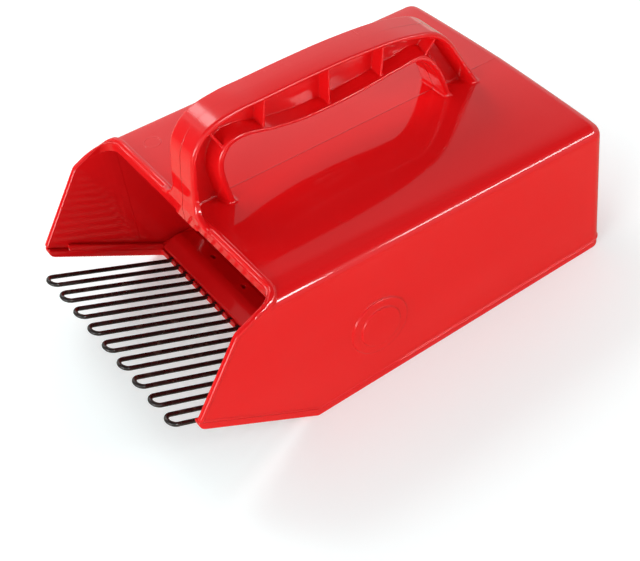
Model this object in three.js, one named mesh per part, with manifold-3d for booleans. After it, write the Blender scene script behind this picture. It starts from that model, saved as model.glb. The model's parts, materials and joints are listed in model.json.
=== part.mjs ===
// Berry picking rake: a moulded scoop with a handle on its roof, a screwed-on floor
// and a comb of wire hairpins at the mouth. Millimetres, +Z up, the mouth faces -Y.
// Everything is drawn with y = 0 at the front of the band over the mouth and z = 0 under the
// floor, and the finished group is then moved so that the origin is central underneath.
import * as THREE from 'three';
import { mergeVertices } from 'three/addons/utils/BufferGeometryUtils.js';
import Module from 'manifold-3d';

const wasm = await Module();
wasm.setup();

// Scoop body
const BODY_WIDTH = 140;
const BODY_LENGTH = 174.2;
const FRONT_HEIGHT = 78.3;
const REAR_HEIGHT = 70;
const FRONT_CROWN = 0.9;
const REAR_CROWN = 2.2;
const WALL = 2.2;
const LONG_EDGE_RADIUS = 5;
const REAR_CORNER_RADIUS = 6;

// Cheeks, the side walls' forward ends, by their reach in front of the band over the mouth
const SHOULDER_REACH = 6;
const BROW_REACH = 21;
const BROW_DROP = 6.4;
const TIP_REACH = 47.6;
const TIP_HEIGHT = 34.4;
const HEEL_SETBACK = 8.8;
const BROW_RADIUS = 6;
const TIP_RADIUS = 5;

// Rim round the mouth: a lip turned down, a ledge above it and a raised band behind the ledge
const MOUTH_CORNER_RADIUS = 7;
const LIP_DROP = 5;
const LEDGE_DEPTH = 1.1;
const BAND_DEPTH = 2.9;
const BAND_PROUD = 1.4;
const STRIP_WIDTH = 1.8;
const STRIP_PROUD = 0.6;

// Round raised plaque on each side wall
const PLAQUE_BACK = 45.3;
const PLAQUE_HEIGHT = 32.3;
const PLAQUE_RADIUS = 14.5;
const PLAQUE_STEP_RADIUS = 10.2;
const PLAQUE_PROUD = 0.8;
const PLAQUE_STEP_PROUD = 1.6;

// Handle of I section: two flanges joined by a web, with ribs across
const HANDLE_WIDTH = 18.8;
const HANDLE_SETBACK = 20.2;
const HANDLE_RISE = 45;
const HANDLE_CROWN = 1.7;
const FLANGE = 2.4;
const WEB = 2.5;
const HANDLE_RIB = 1.6;

// Floor with its ledge under the walls, its locating rib and the two cheek rails
const FLOOR_SKIN = 1.2;
const FLOOR_RELIEF = 1;
const RIB_THICKNESS = 1.6;
const RIB_HEIGHT = 3;
const RIB_TIP_SETBACK = 12;

// Wire comb
const TINE_COUNT = 9;
const WIRE_DIAMETER = 2.1;
const COMB_MARGIN = 12.2;
const TINE_REACH = 52.6;
const TINE_RISE = 30.9;
const LEG_SEAT = 10;
const LEG_BEND_RADIUS = 4;

// Clamp bar that holds the wires down
const BAR_SETBACK = 1.2;
const BAR_NOSE_HEIGHT = 2;
const BAR_HEIGHT = 5.5;
const BAR_CREST_SETBACK = 8;

// Screws and the posts that take them
const SCREW_DIAMETER = 2.8;
const SCREW_HEAD_DIAMETER = 5.8;
const SCREW_HEAD_HEIGHT = 1.4;
const SCREW_SLOT_WIDTH = 0.9;
const SCREW_SLOT_DEPTH = 0.7;
const SCREW_MARGIN = 1.5;
const CLAMP_SCREW_LENGTH = 7;
const BASE_SCREW_LENGTH = 12;
const CLAMP_SCREWS = 4;
const POST_RADIUS = 4;
const POST_HEIGHT = 16;
const POST_SINK = 0.8;
const POST_CLEARANCE = 5;

// Gap kept between pieces that touch, and how far cutting shapes run past what they cut
const FIT_GAP = 0.3;
const OVERRUN = 60;

// Places that follow from the sizes above
const halfWidth = BODY_WIDTH / 2;
const innerHalfWidth = halfWidth - WALL;
const handleLength = BODY_LENGTH - HANDLE_SETBACK;
const ledgeHeight = WIRE_DIAMETER + FIT_GAP + FLOOR_SKIN;
const floorHeight = ledgeHeight - FLOOR_RELIEF;
const seamHeight = ledgeHeight + FIT_GAP;
const railInner = innerHalfWidth - FIT_GAP - RIB_THICKNESS;
const rearRailInner = BODY_LENGTH - WALL - FIT_GAP - RIB_THICKNESS;
const legPitch = (BODY_WIDTH - 2 * COMB_MARGIN) / (2 * TINE_COUNT - 1);
const wireHeight = ledgeHeight - WIRE_DIAMETER / 2;
const wireRadius = WIRE_DIAMETER / 2;
const legEnd = HEEL_SETBACK + LEG_SEAT;
const headRadius = SCREW_HEAD_DIAMETER / 2;
const clampScrewY = legEnd + FIT_GAP + headRadius + SCREW_MARGIN;
const barFront = HEEL_SETBACK + BAR_SETBACK;
const barRear = clampScrewY + headRadius + SCREW_MARGIN;
const barHalfWidth = railInner - FIT_GAP;
const postX = innerHalfWidth - POST_RADIUS + POST_SINK;
const rearPostY = BODY_LENGTH - WALL - POST_RADIUS + POST_SINK;
const frontPostY = barRear + POST_CLEARANCE + POST_RADIUS;
const headRecess = SCREW_HEAD_HEIGHT + FIT_GAP;

// Outline of the handle seen from the side, as shares of its length and of its rise
// above the roof below it, from the front foot to the rear foot
const outerFlangeShares = [
  [-0.002, -0.02], [0, 0.06], [0.008, 0.181], [0.013, 0.364], [0.02, 0.513], [0.034, 0.751],
  [0.067, 0.893], [0.112, 0.967], [0.186, 1], [0.256, 1], [0.401, 1.006], [0.549, 0.997], [0.701, 0.953],
  [0.778, 0.9], [0.84, 0.828], [0.886, 0.685], [0.931, 0.405], [0.985, 0.024], [0.991, -0.02],
];
const innerFlangeShares = [
  [0.126, -0.02], [0.124, 0.01], [0.112, 0.265], [0.11, 0.455], [0.119, 0.547], [0.146, 0.65],
  [0.197, 0.672], [0.28, 0.606], [0.382, 0.553], [0.495, 0.545], [0.612, 0.565], [0.691, 0.592],
  [0.771, 0.588], [0.802, 0.525], [0.838, 0.318], [0.865, 0.008], [0.868, -0.02],
];

// Where each rib crosses, as shares of the outer and of the inner flange's own length
const handleRibShares = [[0.205, 0.177], [0.349, 0.3], [0.505, 0.508], [0.644, 0.679], [0.794, 0.819]];

// Stations across the handle at which its crowned section is drawn, as shares of half its width
const crownStationShares = [-1, -0.8, -0.4, 0, 0.4, 0.8, 1];

// Stations across the roof between its rounded edges, as shares of half the body's width
const roofStationShares = [-0.75, -0.5, -0.25, 0, 0.25, 0.5, 0.75];

const OUTLINE_STEPS = 44;
const ARC_STEPS = 6;
const WIRE_SIDES = 8;
const LOOP_STEPS = 10;
const BEND_STEPS = 3;
const ROUND_STEPS = 32;
const SCREW_STEPS = 16;

// Solids and meshes

function solidOf(geometry) {
  const bare = geometry.clone();
  bare.deleteAttribute('normal');
  bare.deleteAttribute('uv');
  const merged = mergeVertices(bare);
  return new wasm.Manifold(new wasm.Mesh({
    numProp: 3,
    vertProperties: new Float32Array(merged.attributes.position.array),
    triVerts: new Uint32Array(merged.index.array),
  }));
}

function geometryOf(solid) {
  const mesh = solid.getMesh();
  const geometry = new THREE.BufferGeometry();
  geometry.setAttribute('position', new THREE.BufferAttribute(mesh.vertProperties, 3));
  geometry.setIndex(new THREE.BufferAttribute(mesh.triVerts, 1));
  geometry.computeVertexNormals();
  return geometry;
}

function joined(solids) {
  return solids.reduce((whole, piece) => whole.add(piece));
}

function cutBy(solid, cutters) {
  return cutters.reduce((left, cutter) => left.subtract(cutter), solid);
}

function signedVolume(positions, index) {
  const corner = (i) => new THREE.Vector3().fromArray(positions, 3 * i);
  let volume = 0;
  for (let i = 0; i < index.length; i += 3) {
    volume += corner(index[i]).dot(corner(index[i + 1]).cross(corner(index[i + 2])));
  }
  return volume;
}

// A closed body through rings of equally many points; flat() drops a ring to two axes for its cap
function loft(rings, flat) {
  const count = rings[0].length;
  const positions = rings.flat().flatMap((point) => point.toArray());
  const index = [];
  for (let r = 0; r + 1 < rings.length; r += 1) {
    for (let i = 0; i < count; i += 1) {
      const a = r * count + i;
      const b = r * count + (i + 1) % count;
      index.push(a, b, b + count, a, b + count, a + count);
    }
  }
  const capOf = (ring) => {
    const outline = ring.map(flat);
    const turn = Math.sign(THREE.ShapeUtils.area(outline));
    return THREE.ShapeUtils.triangulateShape(outline, []).map(([a, b, c]) => {
      const area = THREE.ShapeUtils.area([outline[a], outline[b], outline[c]]);
      return Math.sign(area) === turn ? [a, b, c] : [a, c, b];
    });
  };
  const last = (rings.length - 1) * count;
  capOf(rings[0]).forEach(([a, b, c]) => index.push(a, c, b));
  capOf(rings[rings.length - 1]).forEach(([a, b, c]) => index.push(last + a, last + b, last + c));
  const outward = signedVolume(positions, index) > 0 ? index : index.slice().reverse();
  const geometry = new THREE.BufferGeometry();
  geometry.setAttribute('position', new THREE.Float32BufferAttribute(positions, 3));
  geometry.setIndex(outward);
  return geometry;
}

// A side outline, its points being (y, z), carried from one x to another
function sidePrism(outline, fromX, toX) {
  const shape = new THREE.Shape(outline);
  const geometry = new THREE.ExtrudeGeometry(shape, { depth: toX - fromX, bevelEnabled: false });
  const axes = new THREE.Matrix4().makeBasis(
    new THREE.Vector3(0, 1, 0), new THREE.Vector3(0, 0, 1), new THREE.Vector3(1, 0, 0));
  return solidOf(geometry.applyMatrix4(axes).translate(fromX, 0, 0));
}

// A plan outline, its points being (x, y), raised from one z to another
function planPrism(outline, fromZ, toZ) {
  const shape = new THREE.Shape(outline);
  const geometry = new THREE.ExtrudeGeometry(shape, { depth: toZ - fromZ, bevelEnabled: false });
  return solidOf(geometry.translate(0, 0, fromZ));
}

function block(low, high) {
  const size = high.map((value, axis) => value - low[axis]);
  const middle = high.map((value, axis) => (value + low[axis]) / 2);
  return solidOf(new THREE.BoxGeometry(...size).translate(...middle));
}

function post(radius, x, y, fromZ, toZ, steps = SCREW_STEPS) {
  const geometry = new THREE.CylinderGeometry(radius, radius, toZ - fromZ, steps).rotateX(Math.PI / 2);
  return solidOf(geometry.translate(x, y, (fromZ + toZ) / 2));
}

// Outlines

function point(u, v) {
  return new THREE.Vector2(u, v);
}

// Rounds each corner of a closed outline by its own radius; a radius of zero leaves it sharp
function rounded(corners, radii) {
  return corners.flatMap((corner, i) => {
    if (radii[i] === 0) return [corner];
    const back = corners[(i + corners.length - 1) % corners.length].clone().sub(corner).normalize();
    const ahead = corners[(i + 1) % corners.length].clone().sub(corner).normalize();
    const halfAngle = Math.acos(THREE.MathUtils.clamp(back.dot(ahead), -1, 1)) / 2;
    const centre = corner.clone().add(
      back.clone().add(ahead).normalize().multiplyScalar(radii[i] / Math.sin(halfAngle)));
    const start = corner.clone().addScaledVector(back, radii[i] / Math.tan(halfAngle)).sub(centre);
    const end = corner.clone().addScaledVector(ahead, radii[i] / Math.tan(halfAngle)).sub(centre);
    const sweep = Math.atan2(start.cross(end), start.dot(end));
    return Array.from({ length: ARC_STEPS + 1 }, (_, step) => (
      start.clone().rotateAround(point(0, 0), sweep * step / ARC_STEPS).add(centre)));
  });
}

// Moves each side of a closed outline inwards by its own distance
function inset(corners, distances) {
  const turn = Math.sign(THREE.ShapeUtils.area(corners));
  const sides = corners.map((corner, i) => {
    const along = corners[(i + 1) % corners.length].clone().sub(corner).normalize();
    const inward = point(-along.y, along.x).multiplyScalar(turn * distances[i]);
    return { start: corner.clone().add(inward), along };
  });
  return sides.map((side, i) => {
    const before = sides[(i + sides.length - 1) % sides.length];
    const reach = side.start.clone().sub(before.start).cross(side.along) / before.along.cross(side.along);
    return before.start.clone().addScaledVector(before.along, reach);
  });
}

function smoothCurve(points) {
  return new THREE.CatmullRomCurve3(
    points.map(([u, v]) => new THREE.Vector3(u, v, 0)), false, 'centripetal');
}

function lineAlong(curve) {
  return curve.getSpacedPoints(OUTLINE_STEPS).map((spot) => point(spot.x, spot.y));
}

function pointAlong(curve, share) {
  const spot = curve.getPointAt(share);
  return point(spot.x, spot.y);
}

// Shifts an open line sideways, to its left for a positive distance
function offsetLine(line, distance) {
  return line.map((spot, i) => {
    const along = line[Math.min(i + 1, line.length - 1)].clone().sub(line[Math.max(i - 1, 0)]).normalize();
    return spot.clone().add(point(-along.y, along.x).multiplyScalar(distance));
  });
}

// The roof falls to the rear and swells along its middle

function roofHeight(y, x = 0) {
  const back = y / BODY_LENGTH;
  const crown = FRONT_CROWN + (REAR_CROWN - FRONT_CROWN) * back;
  return FRONT_HEIGHT + (REAR_HEIGHT - FRONT_HEIGHT) * back + crown * (1 - (x / halfWidth) ** 2);
}

// How far a rounded edge has fallen away at a distance inwards from the face beside it
function edgeFall(radius, within) {
  const short = Math.max(radius - within, 0);
  return radius - Math.sqrt(radius ** 2 - short ** 2);
}

// The body's outer form, drawn in by a distance all round; a negative one lets it grow
function bodyForm(side, top = side) {
  const reach = halfWidth - side;
  const edgeRadius = Math.max(LONG_EDGE_RADIUS - side, FIT_GAP);
  const cornerRadius = Math.max(REAR_CORNER_RADIUS - side, FIT_GAP);
  const edgeStations = Array.from({ length: ARC_STEPS + 1 }, (_, step) => (
    reach - Math.max(edgeRadius, cornerRadius) * (1 - Math.cos(Math.PI / 2 * step / ARC_STEPS))));
  const stations = [
    ...edgeStations.map((x) => -x), ...roofStationShares.map((share) => share * halfWidth),
    ...edgeStations.slice().reverse(),
  ];
  const rings = stations.map((x) => {
    const within = reach - Math.abs(x);
    const rear = BODY_LENGTH - side - edgeFall(cornerRadius, within);
    const height = (y) => roofHeight(y, x) - top - edgeFall(edgeRadius, within);
    const corners = [
      point(-OVERRUN, -OVERRUN), point(rear, -OVERRUN), point(rear, height(rear)), point(-OVERRUN, height(-OVERRUN)),
    ];
    const radius = Math.max(edgeRadius - edgeFall(edgeRadius, within), FIT_GAP);
    return rounded(corners, [0, 0, radius, 0]).map((spot) => new THREE.Vector3(x, spot.x, spot.y));
  });
  return solidOf(loft(rings, (spot) => point(spot.y, spot.z)));
}

// Side outline of the scoop with its cheeks, from the floor's rear round to above the roof
const browRun = BROW_REACH - SHOULDER_REACH;
const sideCorners = [
  point(BODY_LENGTH + OVERRUN, 0),
  point(BODY_LENGTH + OVERRUN, FRONT_HEIGHT + OVERRUN),
  point(-SHOULDER_REACH + OVERRUN * browRun / BROW_DROP, FRONT_HEIGHT + OVERRUN),
  point(-BROW_REACH, FRONT_HEIGHT - BROW_DROP),
  point(-TIP_REACH, TIP_HEIGHT),
  point(HEEL_SETBACK, 0),
];
const sideRadii = [0, 0, 0, BROW_RADIUS, TIP_RADIUS, 0];
const scoopSide = rounded(sideCorners, sideRadii);

// Everything nearer to the underside than a height, along the floor and the cheeks' lower edges
function underBand(height) {
  const lifted = inset(sideCorners, [0, 0, 0, 0, height, height]);
  const run = point(HEEL_SETBACK, 0).sub(point(-TIP_REACH, TIP_HEIGHT)).normalize();
  const heel = lifted[5];
  const front = heel.clone().addScaledVector(run, -OVERRUN - TIP_REACH);
  return sidePrism([
    heel, front, point(front.x, -OVERRUN), point(BODY_LENGTH + OVERRUN, -OVERRUN),
    point(BODY_LENGTH + OVERRUN, height),
  ], -halfWidth - OVERRUN, halfWidth + OVERRUN);
}

const sideMould = sidePrism(scoopSide, -halfWidth - OVERRUN, halfWidth + OVERRUN);
const postPlaces = [-1, 1].flatMap((side) => [frontPostY, rearPostY].map((y) => [side * postX, y]));

// Scoop housing

function mouthRim() {
  const low = FRONT_HEIGHT - LIP_DROP;
  const openTo = (back, fromZ) => {
    const reach = innerHalfWidth + back;
    const edge = back - LEDGE_DEPTH;
    const radius = MOUTH_CORNER_RADIUS + back;
    const corners = [point(-reach, -OVERRUN), point(reach, -OVERRUN), point(reach, edge), point(-reach, edge)];
    return planPrism(rounded(corners, [0, 0, radius, radius]), fromZ, FRONT_HEIGHT + OVERRUN);
  };
  const lip = openTo(WALL, low).intersect(bodyForm(0)).intersect(sideMould);
  const band = openTo(LEDGE_DEPTH + BAND_DEPTH, low).subtract(openTo(LEDGE_DEPTH, -OVERRUN))
    .intersect(bodyForm(0, -BAND_PROUD)).subtract(bodyForm(WALL)).intersect(sideMould);
  return { raised: lip.add(band), cut: openTo(0, -OVERRUN) };
}

function cheekStrips() {
  const within = inset(sideCorners, [0, 0, STRIP_WIDTH, STRIP_WIDTH, 0, 0]);
  const inner = sidePrism(
    rounded(within, [0, 0, 0, BROW_RADIUS, TIP_RADIUS - STRIP_WIDTH, 0]),
    -halfWidth - OVERRUN, halfWidth + OVERRUN);
  return bodyForm(-STRIP_PROUD, 0).subtract(bodyForm(WALL)).intersect(sideMould).subtract(inner);
}

function plaques() {
  const disc = (side, radius, proud) => {
    const thick = proud + WALL / 2;
    const geometry = new THREE.CylinderGeometry(radius, radius, thick, ROUND_STEPS).rotateZ(Math.PI / 2);
    return solidOf(geometry.translate(side * (halfWidth + proud - thick / 2), PLAQUE_BACK, PLAQUE_HEIGHT));
  };
  return joined([-1, 1].flatMap((side) => [
    disc(side, PLAQUE_RADIUS, PLAQUE_PROUD), disc(side, PLAQUE_STEP_RADIUS, PLAQUE_STEP_PROUD)]));
}

function handle() {
  const placed = (shares) => shares.map(([u, v]) => (
    [u * handleLength, roofHeight(u * handleLength) + v * HANDLE_RISE]));
  const outerCurve = smoothCurve(placed(outerFlangeShares));
  const innerCurve = smoothCurve(placed(innerFlangeShares));
  const outer = lineAlong(outerCurve);
  const inner = lineAlong(innerCurve);
  const rings = crownStationShares.map((share) => {
    const crowned = offsetLine(outer, HANDLE_CROWN * (1 - share * share));
    return [...crowned, ...inner.slice().reverse()]
      .map((spot) => new THREE.Vector3(share * HANDLE_WIDTH / 2, spot.x, spot.y));
  });
  const body = solidOf(loft(rings, (spot) => point(spot.y, spot.z)));
  const pocketOutline = [...offsetLine(outer, -FLANGE), ...offsetLine(inner, FLANGE).reverse()];
  const ribs = joined(handleRibShares.map(([outerShare, innerShare]) => {
    const ends = [pointAlong(outerCurve, outerShare), pointAlong(innerCurve, innerShare)];
    const faces = [HANDLE_RIB / 2, -HANDLE_RIB / 2].map((shift) => offsetLine(ends, shift));
    return sidePrism([...faces[0], ...faces[1].reverse()], -HANDLE_WIDTH, HANDLE_WIDTH);
  }));
  const pockets = [[-HANDLE_WIDTH, -WEB / 2], [WEB / 2, HANDLE_WIDTH]]
    .map(([fromX, toX]) => sidePrism(pocketOutline, fromX, toX).subtract(ribs));
  return cutBy(body, pockets);
}

function housing() {
  const rim = mouthRim();
  const posts = postPlaces.map(([x, y]) => post(POST_RADIUS, x, y, seamHeight, seamHeight + POST_HEIGHT));
  const pilots = postPlaces.map(([x, y]) => (
    post(SCREW_DIAMETER / 2 + FIT_GAP, x, y, -OVERRUN, ledgeHeight + BASE_SCREW_LENGTH)));
  const shell = cutBy(bodyForm(0), [bodyForm(WALL)]).intersect(sideMould);
  const lined = joined([shell, rim.raised, cheekStrips(), ...posts]);
  const opened = cutBy(lined, [rim.cut, underBand(seamHeight), ...pilots]);
  return joined([opened, handle(), plaques()]);
}

// Floor

function screwHole(x, y) {
  return joined([
    post(headRadius + FIT_GAP, x, y, -OVERRUN, headRecess),
    post(SCREW_DIAMETER / 2 + FIT_GAP, x, y, -OVERRUN, OVERRUN),
  ]);
}

const clampScrewPlaces = Array.from({ length: CLAMP_SCREWS }, (_, i) => (
  [2 * legPitch * Math.round((i - (CLAMP_SCREWS - 1) / 2) * TINE_COUNT / CLAMP_SCREWS), clampScrewY]));

function legPlaces() {
  const first = -(2 * TINE_COUNT - 1) / 2 * legPitch;
  return Array.from({ length: 2 * TINE_COUNT }, (_, i) => first + i * legPitch);
}

function basePlate() {
  const slab = bodyForm(0).intersect(sideMould).intersect(underBand(ledgeHeight));
  const behindTips = block(
    [-halfWidth, RIB_TIP_SETBACK - TIP_REACH, -OVERRUN], [halfWidth, BODY_LENGTH, FRONT_HEIGHT]);
  const rib = bodyForm(WALL + FIT_GAP).subtract(bodyForm(WALL + FIT_GAP + RIB_THICKNESS))
    .intersect(sideMould).intersect(underBand(ledgeHeight + RIB_HEIGHT)).intersect(behindTips);
  const mouthGap = block([-railInner, -OVERRUN - TIP_REACH, -OVERRUN], [railInner, HEEL_SETBACK, FRONT_HEIGHT]);
  const relief = block(
    [FIT_GAP - railInner, barRear, floorHeight], [railInner - FIT_GAP, rearRailInner - FIT_GAP, FRONT_HEIGHT]);
  const pads = postPlaces.map(([x, y]) => post(POST_RADIUS, x, y, -OVERRUN, FRONT_HEIGHT));
  const grooveHalf = wireRadius + FIT_GAP;
  const grooves = legPlaces().map((x) => block(
    [x - grooveHalf, -OVERRUN, FLOOR_SKIN], [x + grooveHalf, legEnd + FIT_GAP, FRONT_HEIGHT]));
  const aroundPosts = postPlaces.map(([x, y]) => post(POST_RADIUS + FIT_GAP, x, y, ledgeHeight, FRONT_HEIGHT));
  const holes = [...postPlaces, ...clampScrewPlaces].map(([x, y]) => screwHole(x, y));
  return cutBy(slab.add(rib), [mouthGap, cutBy(relief, pads), ...grooves, ...aroundPosts, ...holes]);
}

// Wire comb and its clamp

function wireRoute(centreX) {
  const reach = legPitch / 2;
  const rise = Math.atan2(TINE_RISE - wireHeight, TINE_REACH + HEEL_SETBACK);
  const along = new THREE.Vector3(0, -Math.cos(rise), Math.sin(rise));
  const bendRun = LEG_BEND_RADIUS * Math.tan(rise / 2);
  const bendEntry = new THREE.Vector3(0, HEEL_SETBACK, wireHeight);
  const leg = [new THREE.Vector3(0, legEnd, wireHeight)];
  for (let step = 0; step <= BEND_STEPS; step += 1) {
    const turn = rise * step / BEND_STEPS;
    leg.push(bendEntry.clone().add(new THREE.Vector3(
      0, -LEG_BEND_RADIUS * Math.sin(turn), LEG_BEND_RADIUS * (1 - Math.cos(turn)))));
  }
  const knee = bendEntry.clone().add(new THREE.Vector3(0, -bendRun, 0));
  const straight = Math.hypot(TINE_REACH + knee.y, TINE_RISE - knee.z);
  const loopCentre = knee.clone().addScaledVector(along, straight - reach);
  const loop = Array.from({ length: LOOP_STEPS + 1 }, (_, step) => {
    const turn = Math.PI * step / LOOP_STEPS;
    return loopCentre.clone().addScaledVector(along, reach * Math.sin(turn))
      .add(new THREE.Vector3(-reach * Math.cos(turn), 0, 0));
  });
  const shifted = (side) => leg.map((spot) => spot.clone().add(new THREE.Vector3(side * reach, 0, 0)));
  return [...shifted(-1), ...loop, ...shifted(1).reverse()]
    .map((spot) => spot.add(new THREE.Vector3(centreX, 0, 0)));
}

// A round wire along a route; the section is carried without twist from point to point
function wire(route) {
  let across = new THREE.Vector3(0, 0, 1);
  const rings = route.map((spot, i) => {
    const before = spot.clone().sub(route[Math.max(i - 1, 0)]).normalize();
    const after = route[Math.min(i + 1, route.length - 1)].clone().sub(spot).normalize();
    const along = before.add(after).normalize();
    across = across.clone().addScaledVector(along, -across.dot(along)).normalize();
    const beside = along.clone().cross(across);
    return Array.from({ length: WIRE_SIDES }, (_, side) => {
      const turn = 2 * Math.PI * (side + 1 / 2) / WIRE_SIDES;
      return spot.clone().addScaledVector(across, wireRadius * Math.cos(turn))
        .addScaledVector(beside, wireRadius * Math.sin(turn));
    });
  });
  return solidOf(loft(rings, (spot) => point(spot.x, spot.z)));
}

function clampBar() {
  const low = ledgeHeight + FIT_GAP;
  const profile = [
    point(barFront, low), point(barRear, low), point(barRear, low + BAR_NOSE_HEIGHT),
    point(barFront + BAR_CREST_SETBACK, low + BAR_HEIGHT), point(barFront, low + BAR_NOSE_HEIGHT),
  ];
  const rounding = [0, 0, FIT_GAP, BAR_CREST_SETBACK / 2, FIT_GAP];
  const pilots = clampScrewPlaces.map(([x, y]) => (
    post(SCREW_DIAMETER / 2 + FIT_GAP, x, y, -OVERRUN, CLAMP_SCREW_LENGTH + FIT_GAP)));
  return cutBy(sidePrism(rounded(profile, rounding), -barHalfWidth, barHalfWidth), pilots);
}

function screw(length) {
  const shank = SCREW_DIAMETER / 2;
  const profile = [
    point(0, 0), point(headRadius, 0), point(headRadius, SCREW_HEAD_HEIGHT / 2),
    point(shank, SCREW_HEAD_HEIGHT), point(shank, length - shank), point(0, length),
  ];
  const turned = solidOf(new THREE.LatheGeometry(profile, SCREW_STEPS).rotateX(Math.PI / 2));
  const slots = [[headRadius / 2, SCREW_SLOT_WIDTH / 2], [SCREW_SLOT_WIDTH / 2, headRadius / 2]]
    .map(([x, y]) => block([-x, -y, -SCREW_SLOT_DEPTH], [x, y, SCREW_SLOT_DEPTH]));
  return cutBy(turned, slots);
}

// The named pieces

const redShell = { color: 0xe0251f, roughness: 0.22, metalness: 0 };
const blackWire = { color: 0x1a1412, roughness: 0.3, metalness: 0.2 };
const brightScrew = { color: 0xb9bcc0, roughness: 0.35, metalness: 1 };

const assembly = new THREE.Group();

function addPiece(name, geometry, finish, at = [0, 0, 0]) {
  const mesh = new THREE.Mesh(geometry, new THREE.MeshStandardMaterial(finish));
  mesh.name = name;
  mesh.position.set(...at);
  assembly.add(mesh);
}

addPiece('housing', geometryOf(housing()), redShell);
addPiece('base_plate', geometryOf(basePlate()), redShell);
addPiece('clamp_bar', geometryOf(clampBar()), redShell);
for (let i = 0; i < TINE_COUNT; i += 1) {
  const centreX = 2 * legPitch * (i - (TINE_COUNT - 1) / 2);
  addPiece(`tine_${i + 1}`, geometryOf(wire(wireRoute(centreX))), blackWire);
}
const seatGap = (headRecess - SCREW_HEAD_HEIGHT) / 2;
const clampScrew = geometryOf(screw(CLAMP_SCREW_LENGTH - FIT_GAP));
clampScrewPlaces.forEach(([x, y], i) => {
  addPiece(`clamp_screw_${i + 1}`, clampScrew, brightScrew, [x, y, seatGap]);
});
const baseScrew = geometryOf(screw(BASE_SCREW_LENGTH));
postPlaces.forEach(([x, y], i) => {
  addPiece(`base_screw_${i + 1}`, baseScrew, brightScrew, [x, y, seatGap]);
});

// The origin goes under the middle of the whole rake
const tineTip = -TINE_REACH - wireRadius;
assembly.position.y = -(BODY_LENGTH + tineTip) / 2;

export default assembly;
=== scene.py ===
"""Looks of the berry picking rake: its moulded surfaces, finishes, studio and camera.

Lengths are millimetres in the part's drawing frame, in which y = 0 is the front of the band
over the mouth and z = 0 is under the floor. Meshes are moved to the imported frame, in metres,
when they are made.
"""

import json
import logging
import math
from dataclasses import dataclass, field
from enum import Enum
from typing import Callable, Sequence

import bpy
import numpy as np
from mathutils import Matrix, Vector

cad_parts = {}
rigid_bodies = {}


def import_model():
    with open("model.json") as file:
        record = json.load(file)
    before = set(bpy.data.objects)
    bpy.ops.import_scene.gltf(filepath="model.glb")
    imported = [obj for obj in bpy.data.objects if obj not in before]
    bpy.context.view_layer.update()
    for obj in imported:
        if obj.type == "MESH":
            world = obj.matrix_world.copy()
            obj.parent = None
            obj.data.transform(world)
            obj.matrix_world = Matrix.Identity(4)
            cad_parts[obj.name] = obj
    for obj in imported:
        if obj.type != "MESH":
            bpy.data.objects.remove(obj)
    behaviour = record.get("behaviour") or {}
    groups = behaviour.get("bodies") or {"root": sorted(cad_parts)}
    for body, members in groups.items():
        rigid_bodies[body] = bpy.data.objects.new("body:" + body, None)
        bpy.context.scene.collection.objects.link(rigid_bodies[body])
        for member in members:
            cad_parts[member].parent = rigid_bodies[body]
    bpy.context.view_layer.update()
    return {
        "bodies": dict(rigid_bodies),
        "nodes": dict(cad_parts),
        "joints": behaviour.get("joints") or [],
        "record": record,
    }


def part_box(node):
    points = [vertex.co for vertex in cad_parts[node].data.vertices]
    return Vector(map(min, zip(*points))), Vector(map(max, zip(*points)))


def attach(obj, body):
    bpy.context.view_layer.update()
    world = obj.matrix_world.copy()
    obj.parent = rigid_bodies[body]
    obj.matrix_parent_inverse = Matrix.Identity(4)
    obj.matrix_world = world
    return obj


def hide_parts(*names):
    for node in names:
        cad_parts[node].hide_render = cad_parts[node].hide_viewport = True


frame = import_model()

log = logging.getLogger("rake")

Array = np.ndarray
Field = Callable[[Array, Array, Array], Array]
Socket = bpy.types.NodeSocket
Pair = tuple[float, float]
Triple = tuple[float, float, float]
GridLines = tuple[Array, Array, Array]

MM = 0.001
TINY = 1e-9
ROOT = "root"

# Points on each rounded corner of a side view
ARC_STEPS = 33

# How far before the end of a grid of distances a place is read at the latest
LAST_CELL = 1.001

# How strongly the thinning of a mesh prefers its plain stretches
PLAIN_FIRST = 1000

# The drawing frame's y = 0 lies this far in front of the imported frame's origin
BODY_LENGTH = 174.2
ORIGIN_BACK = BODY_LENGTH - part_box("base_plate")[1].y / MM


# --- Distances ---


def rounded_both(a: Array, b: Array, radius: float | Array) -> Array:
    """Distance to what lies inside both forms, its shared edge rounded.

    Args:
        a: Signed distances to the first form, negative inside.
        b: Signed distances to the second form.
        radius: Radius of the edge, one number or one for each point.

    Returns:
        Signed distances to the common part.
    """
    corner = np.hypot(np.maximum(radius + a, 0), np.maximum(radius + b, 0))
    return np.minimum(-radius, np.maximum(a, b)) + corner


def filleted_either(a: Array, b: Array, radius: float | Array) -> Array:
    """Distance to what lies inside one or both forms, with a fillet where they meet.

    Args:
        a: Signed distances to the first form, negative inside.
        b: Signed distances to the second form.
        radius: Radius of the fillet, one number or one for each point.

    Returns:
        Signed distances to the joined form.
    """
    corner = np.hypot(np.maximum(radius - a, 0), np.maximum(radius - b, 0))
    return np.maximum(radius, np.minimum(a, b)) - corner


def eased(low: float, high: float, value: Array) -> Array:
    """Rises smoothly from 0 at `low` to 1 at `high`."""
    share = np.clip((value - low) / (high - low), 0, 1)
    return share * share * (3 - 2 * share)


def slab(value: Array, low: float | Array, high: float | Array) -> Array:
    """Signed distance to the layer between two heights."""
    return np.abs(value - (low + high) / 2) - (high - low) / 2


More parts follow.
